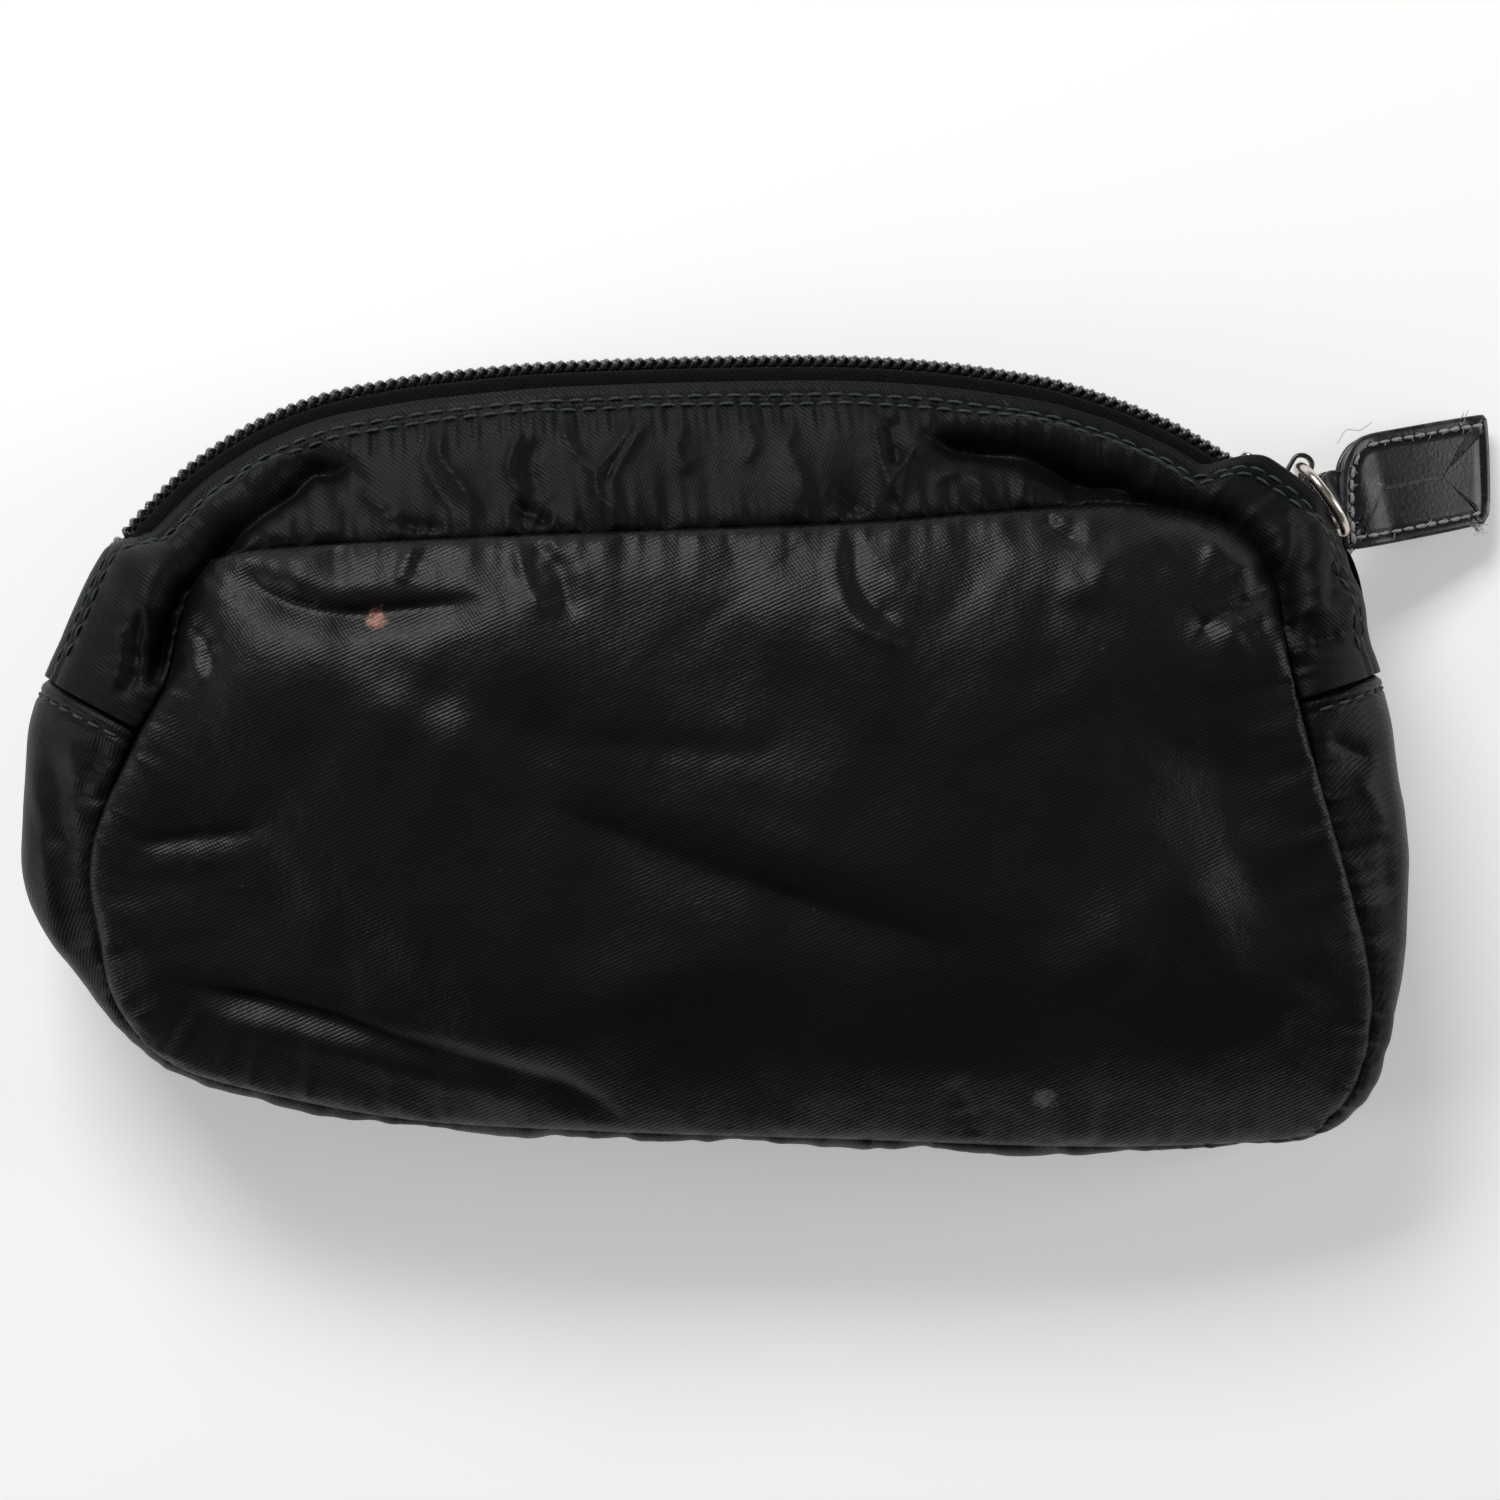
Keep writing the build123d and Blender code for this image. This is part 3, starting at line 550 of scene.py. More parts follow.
def upper_half(front, nu=520, nv=64):
    shares = np.linspace(0, TOP_END, nu)
    seam = seam_at(shares)
    edge = edge_at(shares)
    dirs = edge - seam
    length = np.linalg.norm(dirs, axis=1)
    dirs /= length[:, None]
    back = lip_setback(edge[:, 0], front)
    openness = lip_open(edge[:, 0])
    hood = smooth01(1 - back / LIP) * openness if front > 0 else 0 * openness
    top_z = np.interp(shares, np.linspace(0, 1, N_LOOP + 1), seam_z) if front > 0 else np.full(nu, 0.9)
    lip_out = length - back
    lip_z = ZIP_Z + front * 7.4 * openness
    v = np.linspace(0, 1, nv)
    straight = v[None, :] + 0 * length[:, None]
    theta = v * pi / 2
    out_round = np.sin(theta)[None, :] ** 0.9
    drop_round = 1 - np.cos(theta)[None, :] ** 0.9
    slack = 0.10 * np.sin(pi * v)[None, :]
    out = straight * openness[:, None] + out_round * (1 - openness[:, None])
    fall = (straight - slack) * openness[:, None] + drop_round * (1 - openness[:, None])
    o = out * lip_out[:, None]
    z = top_z[:, None] + fall * (lip_z - top_z)[:, None]
    p = np.stack([seam[:, 0, None] + o * dirs[:, 0, None], seam[:, 1, None] + o * dirs[:, 1, None], z], -1)
    n = normals(p)
    if np.mean(n[..., 2]) * front < 0:
        n = -n
    flat = p.reshape(-1, 3)
    seen = plan_view(flat) if front > 0 else flat[:, :2]
    arc = np.repeat(shares * lengths(seam_loop)[-1], nv)
    seam_dist = o.ravel()
    lip_dist = (lip_out[:, None] - o).ravel()
    open_flat = np.repeat(openness, nv)
    if front > 0:
        height = fold_height(seen, TOP_FOLDS)
    else:
        height = 1.0 * lumps(seen[:, 0], seen[:, 1], 26, 4) + fold_height(
            seen + np.array([6.0, 0]), TOP_FOLDS
        ) * 0.5
    height = height * smooth01(seam_dist / 2.2) * (1 - open_flat * (1 - smooth01((lip_dist - 2.2) / 2.0)))
    height += seam_pucker(arc, seam_dist, 5.6, 0.75, 5.0, 2) * smooth01(seam_dist / 1.0)
    height += seam_pucker(arc, seam_dist, 12.0, 0.7, 8.0, 3) * smooth01(seam_dist / 2.0)
    under_rows = np.exp(-(((lip_dist - 5.4) / 2.6) ** 2)) * open_flat
    height += 0.26 * wobble(arc, 2.9, 6) * under_rows
    rows = sum(np.exp(-(((lip_dist - setback) / 0.42) ** 2)) for setback in ROW_SETBACKS)
    height -= 0.22 * rows
    between_rows = 0.16 * np.exp(-(((lip_dist - 2.7) / 0.5) ** 2))
    height += between_rows + 0.12 * np.exp(-(((lip_dist - 0.9) / 0.8) ** 2))
    height += 0.10 * wobble(arc, 2.4, 7) * np.exp(-(((lip_dist - 2.7) / 1.6) ** 2))
    height += 0.35 * wobble(arc, 3.1, 8) * np.exp(-((seam_dist / 3.0) ** 1.5)) * smooth01(seam_dist / 0.5)
    height -= 1.15 * np.exp(-seam_dist / 0.75)
    if front > 0:
        height -= seam_sink(np.repeat(shares, nv), seam_dist, 2.2)
    height += 0.45 * lumps(seen[:, 0], seen[:, 1], 18, 5) * smooth01(seam_dist / 5) * smooth01(lip_dist / 6)
    p = (flat + n.reshape(-1, 3) * height[:, None]).reshape(nu, nv, 3)
    # the folded edge of the cloth: it rolls over and runs back underneath
    roll = []
    lip = p[:, -1]
    inward = -dirs
    for angle, reach in ((35, 0.0), (90, 0.0), (145, 0.0), (180, 0.0), (180, 2.2)):
        a = radians(angle)
        along = (1 - np.cos(a)) / 2
        step = 0.28 * np.sin(a)
        q = lip.copy()
        q[:, :2] -= inward * ((step - reach) * openness * (1 + 1.2 * hood))[:, None]
        q[:, 2] -= front * along * (0.75 + 1.9 * hood) * openness
        roll.append(q)
    p = np.concatenate([p, np.stack(roll, 1)], 1)
    name = "shell_upper_front" if front > 0 else "shell_upper_back"
    obj = grid_mesh(name, p, flip=front < 0)
    return obj, dict(points=p[:, :nv], normals=n, lip_out=lip_out, out=o)


# ---- Lower band -----------------------------------------------------------------------------------------

SIDE_FOLDS = [
    fold([(-107.4, 0.8), (-105.3, -11.7), (-103.8, -22.7), (-101.6, -33.0)], 1.0, -0.7),
    fold([(-104.9, 2.8), (-102.7, -9.7), (-101.0, -20.7)], 1.3, 0.6),
    fold([(-101.4, 4.8), (-99.8, -8.7), (-99.6, -18.7)], 1.4, -0.6),
    fold([(-96.0, 4.6), (-97.8, -3.0), (-101.6, -8.0)], 1.0, 0.7),
    fold([(103.8, 3.0), (104.6, -12.0), (105.4, -26.0)], 1.2, 0.6),
    fold([(99.2, -2.0), (103.2, -8.0), (105.0, -15.0)], 1.1, -0.6),
    fold([(95.4, 2.6), (99.8, 0.6), (103.6, -1.6)], 1.0, 0.6),
]


def build_lower(nu=760, nv=56):
    shares = np.linspace(TOP_END, 1.0, nu)
    seam = seam_at(shares)
    edge = edge_at(shares)
    dirs = edge - seam
    length = np.linalg.norm(dirs, axis=1)
    dirs /= length[:, None]
    top_z = np.interp(shares, np.linspace(0, 1, N_LOOP + 1), seam_z)
    v = np.linspace(0, 1, nv)
    outs = np.array([0.0, 0.78, 1.0, 0.80, 0.0])
    rises = np.array([1.0, 0.84, 0.5, 0.17, 0.0])
    ends = np.clip(np.minimum(shares - TOP_END, 1 - shares) / 0.03, 0, 1)
    prof = curve(np.column_stack([outs, rises]), nv)
    round_out = np.sin(v * pi) ** 0.9
    round_rise = 0.5 + 0.5 * np.sign(np.cos(v * pi)) * np.abs(np.cos(v * pi)) ** 0.9
    w = smooth01(ends)[:, None]
    out = (prof[:, 0][None] * w + round_out[None] * (1 - w)) * length[:, None]
    low = 0.9
    rise = prof[:, 1][None] * w + round_rise[None] * (1 - w)
    z = low + rise * (top_z[:, None] - low)
    p = np.stack(
        [seam[:, 0, None] + out * dirs[:, 0, None], seam[:, 1, None] + out * dirs[:, 1, None], z], -1
    )
    n = normals(p)
    outward = np.concatenate([dirs, np.zeros((nu, 1))], 1)[:, None]
    n = np.where((n * outward).sum(-1, keepdims=True).mean() < 0, -n, n)
    flat = p.reshape(-1, 3)
    steps = np.linalg.norm(np.diff(p, axis=1), axis=-1)
    across = np.concatenate([np.zeros((nu, 1)), np.cumsum(steps, 1)], 1)
    front_dist = across.ravel()
    back_dist = (across[:, -1:] - across).ravel()
    arc = np.repeat(shares * lengths(seam_loop)[-1], nv)
    seen = plan_view(flat)
    bottom = smooth01((-flat[:, 1] - 40) / 12)
    ends_flat = np.repeat(smooth01(ends * 1.6), nv)
    height = fold_height(seen, SIDE_FOLDS) * (flat[:, 2] > 16)
    for dist, seed in ((front_dist, 5), (back_dist, 8)):
        height += seam_pucker(arc, dist, 6.0, 0.6 - 0.25 * bottom, 5.0, seed) * smooth01(dist / 1.0)
        height += seam_pucker(arc, dist, 11.0, 0.8 - 0.5 * bottom, 9.0, seed + 1) * smooth01(dist / 2.0)
        height += 0.28 * wobble(arc, 3.3, 8) * np.exp(-((dist / 2.4) ** 1.5)) * smooth01(dist / 0.5)
        height -= 1.1 * np.exp(-dist / 0.75)
    slack = (0.9 - 0.6 * bottom) * lumps(arc, across.ravel(), 24, 6)
    height += slack * smooth01(front_dist / 7) * smooth01(back_dist / 7) * ends_flat
    pleats = bottom * 0.3 * wobble(arc + 2 * np.sin(flat[:, 2] / 5), 9.5, 9)
    patches = 0.4 + 0.6 * smooth01(0.5 + 0.8 * wobble(arc, 47, 2))
    height += pleats * patches * smooth01(front_dist / 3) * smooth01(back_dist / 3)
    # the side seams draw the cloth in, with a row of topstitching just below
    end_dist = np.minimum(arc - arc.min(), arc.max() - arc)
    height -= 1.1 * np.exp(-end_dist / 0.9)
    height -= 0.35 * np.exp(-(((end_dist - SIDE_ROW) / 0.45) ** 2))
    ridge = 0.25 * np.exp(-(((end_dist - 1.3) / 0.6) ** 2))
    height += ridge + 0.12 * wobble(across.ravel(), 3.0, 3) * np.exp(-(((end_dist - 2.6) / 1.4) ** 2))
    p = (flat + n.reshape(-1, 3) * height[:, None]).reshape(nu, nv, 3)
    p[..., 2] = np.maximum(p[..., 2], 0.1)
    obj = grid_mesh("shell_lower", p)
    return obj, dict(points=p, normals=n, arc=shares * lengths(seam_loop)[-1])


# ---- Thread ---------------------------------------------------------------------------------------------


STITCH_PITCH = 3.1
STITCH_LIFT = 0.34


def tube(path, radius, sides=6, closed=False):
    """Vertices and faces of a tube along a 3D path."""
    path = np.asarray(path, float)
    n = len(path)
    radius = np.broadcast_to(radius, (n,))
    tangent = np.roll(path, -1, 0) - np.roll(path, 1, 0) if closed else np.gradient(path, axis=0)
    tangent /= np.maximum(np.linalg.norm(tangent, axis=1, keepdims=True), 1e-9)
    up = np.array([0.0, 0.0, 1.0]) if abs(tangent[0][2]) < 0.9 else np.array([0.0, 1.0, 0.0])
    rows = []
    for k in range(n):
        a = up - tangent[k] * (up @ tangent[k])
        a /= max(np.linalg.norm(a), 1e-9)
        b = np.cross(tangent[k], a)
        up = a
        t = np.linspace(0, 2 * pi, sides, endpoint=False)
        rows.append(path[k] + radius[k] * (np.cos(t)[:, None] * a + np.sin(t)[:, None] * b))
    verts = np.vstack(rows)
    faces = grid_faces(n, sides, close_u=closed, close_v=True)
    if not closed:
        faces += end_caps(n, sides)
    return verts, faces


def merge(parts):
    verts, faces, base = [], [], 0
    for v, f in parts:
        verts.append(v)
        faces += [[base + i for i in face] for face in f]
        base += len(v)
    return np.vstack(verts), faces


def stitch(a, b, lift, radius=0.28):
    """One stitch from a to b, lifted off the cloth in its middle; lift is a vector."""
    t = np.linspace(0, 1, 7)[:, None]
    hump = np.sin(t * pi) ** 0.6
    path = a + (b - a) * t + lift * (hump - 0.2)
    size = radius * (0.55 + 0.45 * np.sin(t[:, 0] * pi) ** 0.5)
    return tube(path, size, 6)


def upper_rows(data, front):
    """The two rows of topstitching beside the zip."""
    p, out, lip_out, n = data["points"], data["out"], data["lip_out"], data["normals"]
    parts = []
    for row, setback in enumerate(ROW_SETBACKS):
        line, norm = [], []
        for i in range(len(p)):
            target = max(lip_out[i] - setback, 0.3 * lip_out[i])
            j = np.interp(target, out[i], np.arange(out.shape[1]))
            j0 = int(min(j, out.shape[1] - 2))
            f = j - j0
            line.append(p[i, j0] * (1 - f) + p[i, j0 + 1] * f)
            norm.append(n[i, j0])
        line, norm = np.array(line), np.array(norm)
        s = lengths(line)
        count = int(s[-1] / STITCH_PITCH)
        for k in range(1, count - 1):
            t0 = (k + 0.45 * row) * STITCH_PITCH + rng.uniform(-0.12, 0.12)
            a = point_at(line, s, t0)
            b = point_at(line, s, t0 + 2.35)
            m = point_at(norm, s, t0 + 1.2)
            m /= np.linalg.norm(m)
            parts.append(stitch(a, b, m * STITCH_LIFT))
    verts, faces = merge(parts)
    return make("topstitch_front" if front > 0 else "topstitch_back", verts, faces)


def side_rows(data):
    """Topstitching just below each side seam."""
    p, n, arc = data["points"], data["normals"], data["arc"]
    parts = []
    for end in (0, 1):
        dist = arc - arc[0] if end == 0 else arc[-1] - arc
        i = int(np.argmin(np.abs(dist - SIDE_ROW)))
        line, norm = p[i], n[i]
        s = lengths(line)
        for k in range(1, int(s[-1] / STITCH_PITCH) - 1):
            t0 = k * STITCH_PITCH
            a = point_at(line, s, t0)
            b = point_at(line, s, t0 + 2.3)
            m = point_at(norm, s, t0 + 1.1)
            parts.append(stitch(a, b, m * STITCH_LIFT))
    verts, faces = merge(parts)
    return make("topstitch_sides", verts, faces)


# ---- Zip ------------------------------------------------------------------------------------------------

zip_edge = np.array([p for p in edge_loop if p[1] > 30 and -97 < p[0] < 91.5])


def zip_path():
    """The tape's web line: set in from the outer edge by the height of the coil, evenly spaced."""
    d = unit(np.gradient(zip_edge, axis=0))
    inward = np.column_stack([d[:, 1], -d[:, 0]])
    return resample(zip_edge + inward * WEB, 1201)


web = zip_path()
web_s = lengths(web)


def web_frame(s):
    """Point on the web line, direction along it and outward direction, at length s."""
    p = point_at(web, web_s, s)
    q = point_at(web, web_s, s + 0.5)
    r = point_at(web, web_s, s - 0.5)
    t = (q - r) / np.linalg.norm(q - r)
    return p, t, np.array([-t[1], t[0]])


def build_tape(front):
    profile = curve(
        [(-9.5, 8.4), (-5.5, 7.2), (-2.8, 6.3), (-0.9, 5.6), (0.0, 4.5), (0.0, 2.6), (0.0, 0.35)], 26
    )
    side = unit(np.gradient(profile, axis=0))
    inner = profile + np.column_stack([side[:, 1], -side[:, 0]]) * 0.45
    ring = np.vstack([profile, inner[::-1]])
    rows = []
    for s in np.linspace(0.6, web_s[-1] - 0.6, 420):
        p, _, o = web_frame(s)
        x, y = p[0] + ring[:, 0] * o[0], p[1] + ring[:, 0] * o[1]
        rows.append(np.column_stack([x, y, ZIP_Z + front * ring[:, 1]]))
    name = "zip_tape_cloth_front" if front > 0 else "zip_tape_cloth_back"
    return grid_mesh(name, np.array(rows), close_v=True, flip=front > 0)


COIL_PITCH = 1.76


def build_coil(front, start, stop):
    """One side of the nylon coil: a flattened helix whose heads reach past the middle of the zip."""
    turns = int((stop - start) / COIL_PITCH)
    theta = np.linspace(0, turns, turns * 14 + 1)
    path = []
    for t in theta:
        p, _, o = web_frame(start + t * COIL_PITCH + (0 if front > 0 else COIL_PITCH / 2))
        a = t * 2 * pi
        out = 1.22 - 0.72 * sin(a)
        rise = 1.05 - 1.68 * cos(a)
        path.append((p[0] + out * o[0], p[1] + out * o[1], ZIP_Z + front * rise))
    head = 0.39 + 0.09 * np.cos(theta * 2 * pi) ** 2 * (np.cos(theta * 2 * pi) > 0)
    verts, faces = tube(np.array(path), head, 7)
    return make("zip_coil_turns_front" if front > 0 else "zip_coil_turns_back", verts, faces)


def build_stop():
    """The melted nylon stop that joins both sides at the closed end of the zip."""
    parts = []
    for s in (2.4, 3.3, 4.2):
        p, _, o = web_frame(s)
        t = np.linspace(0, 1, 9)
        out = 0.9 + 0.9 * np.sin(pi * t)
        path = np.column_stack([p[0] + out * o[0], p[1] + out * o[1], ZIP_Z + 6.0 * (t - 0.5)])
        parts.append(tube(path, 0.62 + 0.12 * np.sin(pi * t), 10))
    verts, faces = merge(parts)
    return make("zip_stop_melted", verts, faces)


# ---- Slider, ring and tab -------------------------------------------------------------------------------

ARC_RADIUS, ARC_CENTRE = 180.0, (1.0, -117.8)
SLIDER_ANGLE = asin(84.2 / ARC_RADIUS)
SLIDER_AT = (ARC_CENTRE[0] + 84.2, ARC_CENTRE[1] + ARC_RADIUS * cos(SLIDER_ANGLE))


def in_slider(points):
    """From the slider's frame (x along the zip, y outwards, z across) to the bag's."""
    p = np.asarray(points, float)
    c, s = cos(SLIDER_ANGLE), sin(SLIDER_ANGLE)
    x = SLIDER_AT[0] + p[:, 0] * c + p[:, 1] * s
    y = SLIDER_AT[1] - p[:, 0] * s + p[:, 1] * c
    return np.column_stack([x, y, ZIP_Z + p[:, 2]])


def rounded_plate(low, high, crown=0.0):
    """A plate in the x-z plane between two heights y, with rounded plan corners and soft edges."""
    half, tail, nose = 4.3, -5.5, 5.5
    corner = []
    for cx, cz, r, a0 in (
        (nose - 1.3, half - 1.3, 1.3, 0), (tail + 1.2, 0.76 * half - 1.2, 1.2, 90),
        (tail + 1.2, -0.76 * half + 1.2, 1.2, 180), (nose - 1.3, -half + 1.3, 1.3, 270)
    ):
        for a in np.linspace(a0, a0 + 90, 8):
            corner.append((cx + r * cos(radians(a)), cz + r * sin(radians(a))))
    ring = np.array(corner)
    centre = ring.mean(0)
    soft = 0.28
    levels = [
        (low, 0.75), (low, 1.0 - soft / half), (low + soft * 0.3, 1.0 - soft * 0.3 / half), (low + soft, 1.0),
        (high - soft, 1.0), (high - soft * 0.3, 1.0 - soft * 0.3 / half), (high, 1.0 - soft / half),
        (high + crown, 0.6)
    ]
    rows = []
    for y, k in levels:
        q = centre + (ring - centre) * k
        rows.append(np.column_stack([q[:, 0], np.full(len(q), y), q[:, 1]]))
    verts = np.vstack(rows)
    n = len(ring)
    faces = grid_faces(len(levels), n, close_v=True)
    faces += end_caps(len(levels), n)
    return in_slider(verts), faces


def box_part(low, high, soft=0.2):
    """A block with chamfered edges, given by its corners in the slider's frame."""
    low, high = np.array(low, float), np.array(high, float)
    verts, faces = [], []
    levels = [(low[1], soft), (low[1] + soft, 0), (high[1] - soft, 0), (high[1], soft)]
    for y, s in levels:
        x0, x1, z0, z1 = low[0] + s, high[0] - s, low[2] + s, high[2] - s
        c = soft
        verts += [
            (x0 + c, y, z0), (x1 - c, y, z0), (x1, y, z0 + c), (x1, y, z1 - c), (x1 - c, y, z1),
            (x0 + c, y, z1), (x0, y, z1 - c), (x0, y, z0 + c)
        ]
    faces = grid_faces(4, 8, close_v=True, flip=True)
    faces += [face[::-1] for face in end_caps(4, 8)]
    return in_slider(verts), faces


def build_slider():
    parts = [rounded_plate(2.8, 4.0, 0.12), rounded_plate(-3.1, -1.9)]
    for side in (-1, 1):
        z0, z1 = sorted((side * 3.4, side * 4.28))
        parts.append(box_part((-2.1, 0.55, z0), (4.6, 3.0, z1)))
        parts.append(box_part((-2.1, -2.1, z0), (4.6, -1.05, z1)))
    parts.append(box_part((1.8, -2.0, -0.55), (4.6, 3.0, 0.55), 0.12))
    verts, faces = merge(parts)
    return make("slider_plates", verts, faces)


EYE = (3.6, 6.1)


def build_crown():
    """A bent strip over the outer plate: two feet and an arch, with rounded edges."""
    foot = 3.8
    mid = curve(
        [
            (EYE[0] - 1.55, foot), (EYE[0] - 1.6, 5.6), (EYE[0] - 1.35, 7.35), (EYE[0], 8.0),
            (EYE[0] + 1.35, 7.35), (EYE[0] + 1.6, 5.6), (EYE[0] + 1.55, foot)
        ],
        34
    )
    side = unit(np.gradient(mid, axis=0))
    across = np.column_stack([-side[:, 1], side[:, 0]])
    t = np.linspace(0, 2 * pi, 16, endpoint=False)
    wide = np.sign(np.cos(t)) * np.abs(np.cos(t)) ** 0.5 * 1.1
    thick = np.sign(np.sin(t)) * np.abs(np.sin(t)) ** 0.6 * 0.36
    rows = []
    for k in range(len(mid)):
        x, y = mid[k, 0] + across[k, 0] * thick, mid[k, 1] + across[k, 1] * thick
        rows.append(np.column_stack([x, y, wide]))
    verts = in_slider(np.vstack(rows))
    faces = grid_faces(len(mid), 16, close_v=True)
    faces += end_caps(len(mid), 16)
    return make("slider_bridge", verts, faces)


RING_HEADING = radians(-55.0)
RING_RADIUS, WIRE_RADIUS, RING_DROP = 6.1, 0.85, 0.8
eye_at = in_slider([(EYE[0], EYE[1], 0)])[0]
ring_reach = sqrt(RING_RADIUS**2 - RING_DROP**2)
ring_at = eye_at + np.array([ring_reach * cos(RING_HEADING), ring_reach * sin(RING_HEADING), -RING_DROP])
ring_low = ring_at - np.array([0, 0, RING_RADIUS])


def build_ring():
    t = np.linspace(0, 2 * pi, 72, endpoint=False)
    heading = np.array([cos(RING_HEADING), sin(RING_HEADING), 0])
    path = ring_at + RING_RADIUS * (np.cos(t)[:, None] * heading + np.sin(t)[:, None] * np.array([0, 0, 1.0]))
    verts, faces = tube(path, WIRE_RADIUS, 20, closed=True)
    return make("ring_wire", verts, faces)


TAB_HEADING, TAB_SLOPE = radians(11.8), radians(22.0)
TAB_START, TAB_LENGTH, TAB_WIDTH = 3.6, 25.5, 17.5


def in_tab(points):
    """From the tab's frame (x along it, y across, z out of its face) at the ring's lowest point."""
    p = np.asarray(points, float)
    c, s = cos(TAB_SLOPE), sin(TAB_SLOPE)
    x, z = p[:, 0] * c + p[:, 2] * s, -p[:, 0] * s + p[:, 2] * c
    h, k = cos(TAB_HEADING), sin(TAB_HEADING)
    along = ring_low[0] + x * h - p[:, 1] * k
    across = ring_low[1] + x * k + p[:, 1] * h
    return np.column_stack([along, across, ring_low[2] + z])


def tab_bend(x):
    """The leather's own bow, from the ring to its free end."""
    t = (x - TAB_START) / TAB_LENGTH
    return 0.7 * np.sin(pi * np.clip(t, 0, 1)) + 1.3 * np.clip(t, 0, 1.1) ** 2


def tab_close(x, height):
    """The layers lie on each other past the end of the strip that is sewn between them."""
    return -np.sign(height) * 0.46 * smooth01((x - 7.0) / 5.0)


def tab_outline(inset=0.0, count=160):
    """Rounded outline of the tab, with the corners next to the ring cut back more."""
    x0, x1, h = TAB_START, TAB_START + TAB_LENGTH + 2.0, TAB_WIDTH / 2
    pts = [
        (x0 + 4.6, h), (x0 + 12, h + 0.15), (x1 - 2.2, h - 0.1), (x1 - 0.5, h - 0.6), (x1, h - 2.2),
        (x1 + 0.1, 0), (x1 - 0.1, -h + 2.6),
        (x1 - 0.8, -h + 0.7), (x1 - 2.8, -h), (x0 + 12, -h - 0.1), (x0 + 1.6, -h + 0.2), (x0 + 0.2, -h + 1.6),
        (x0 + 0.1, -2), (x0 + 0.3, h - 5.4), (x0 + 1.6, h - 2.0),
    ]
    pts = [(x + 0.19 * y, y) for x, y in pts]
    loop = curve(pts, count + 1, closed=True)[:-1]
    if inset:
        d = unit(np.roll(loop, -1, 0) - np.roll(loop, 1, 0))
        loop = loop + np.column_stack([d[:, 1], -d[:, 0]]) * inset
    return loop


def build_tab_layer(name, low, high, shrink):
    """One layer of leather between two heights, with rounded edges and a bow."""
    rings = []
    soft = min(0.38, (high - low) / 2)
    levels = [
        (low, 1.6), (low, soft), (low + soft * 0.3, soft * 0.3), (low + soft, 0.0), (high - soft, 0.0),
        (high - soft * 0.3, soft * 0.3), (high, soft)
    ]
    levels += [
        (high, 0.8), (high - 0.02, 1.2), (high - 0.12, 1.6), (high - 0.12, 1.95), (high + 0.02, 2.4),
        (high + 0.10, 3.0)
    ]
    count = 160
    for z, inset in levels:
        loop = tab_outline(inset + shrink, count)
        rings.append(np.column_stack([loop, z + tab_bend(loop[:, 0]) + tab_close(loop[:, 0], high)]))
    base = tab_outline(3.0 + shrink, count)
    spine = np.column_stack([np.clip(base[:, 0], TAB_START + 8, TAB_START + TAB_LENGTH - 7), 0 * base[:, 1]])
    for k in np.linspace(0.95, 0.05, 16):
        loop = spine + (base - spine) * k
        z = high + 0.10
        rings.append(np.column_stack([loop, z + tab_bend(loop[:, 0]) + tab_close(loop[:, 0], high)]))
    verts = in_tab(np.vstack(rings))
    faces = grid_faces(len(rings), count, close_v=True, flip=True)
    faces += [face[::-1] for face in end_caps(len(rings), count)]
    return make(name, verts, faces)


def build_tab_loop():
    """The narrow strip that goes round the ring's wire; its ends are sewn between the two layers."""
    skew = RING_HEADING + pi / 2 - TAB_HEADING
    path = [
        (6.5, 0.52), (3.9, 0.7), (2.3, 1.75), (0.6, 2.3), (-1.0, 2.0), (-2.15, 0.9), (-2.15, -0.9),
        (-1.0, -2.0), (0.6, -2.3), (2.3, -1.75), (3.9, -0.7), (6.5, -0.52)
    ]
    mid = curve(path, 60)
    side = unit(np.gradient(mid, axis=0))
    across = np.column_stack([-side[:, 1], side[:, 0]])
    t = np.linspace(0, 2 * pi, 20, endpoint=False)
    thick = np.sign(np.sin(t)) * np.abs(np.sin(t)) ** 0.6 * 0.40
    rows = []
    for k in range(len(mid)):
        half = 2.4 + 1.6 * smooth01((mid[k, 0] - 0.5) / 4.0)
        wide = np.sign(np.cos(t)) * np.abs(np.cos(t)) ** 0.45 * half
        x, z = mid[k, 0] + across[k, 0] * thick, mid[k, 1] + across[k, 1] * thick
        turn = skew * (1 - smooth01((mid[k, 0] - 1.5) / 4.0))
        rows.append(np.column_stack([x * cos(turn) - wide * sin(turn), x * sin(turn) + wide * cos(turn), z]))
    verts = in_tab(np.vstack(rows))
    faces = grid_faces(len(mid), 20, close_v=True)
    faces += end_caps(len(mid), 20)
    return make("tab_loop_strip", verts, faces)


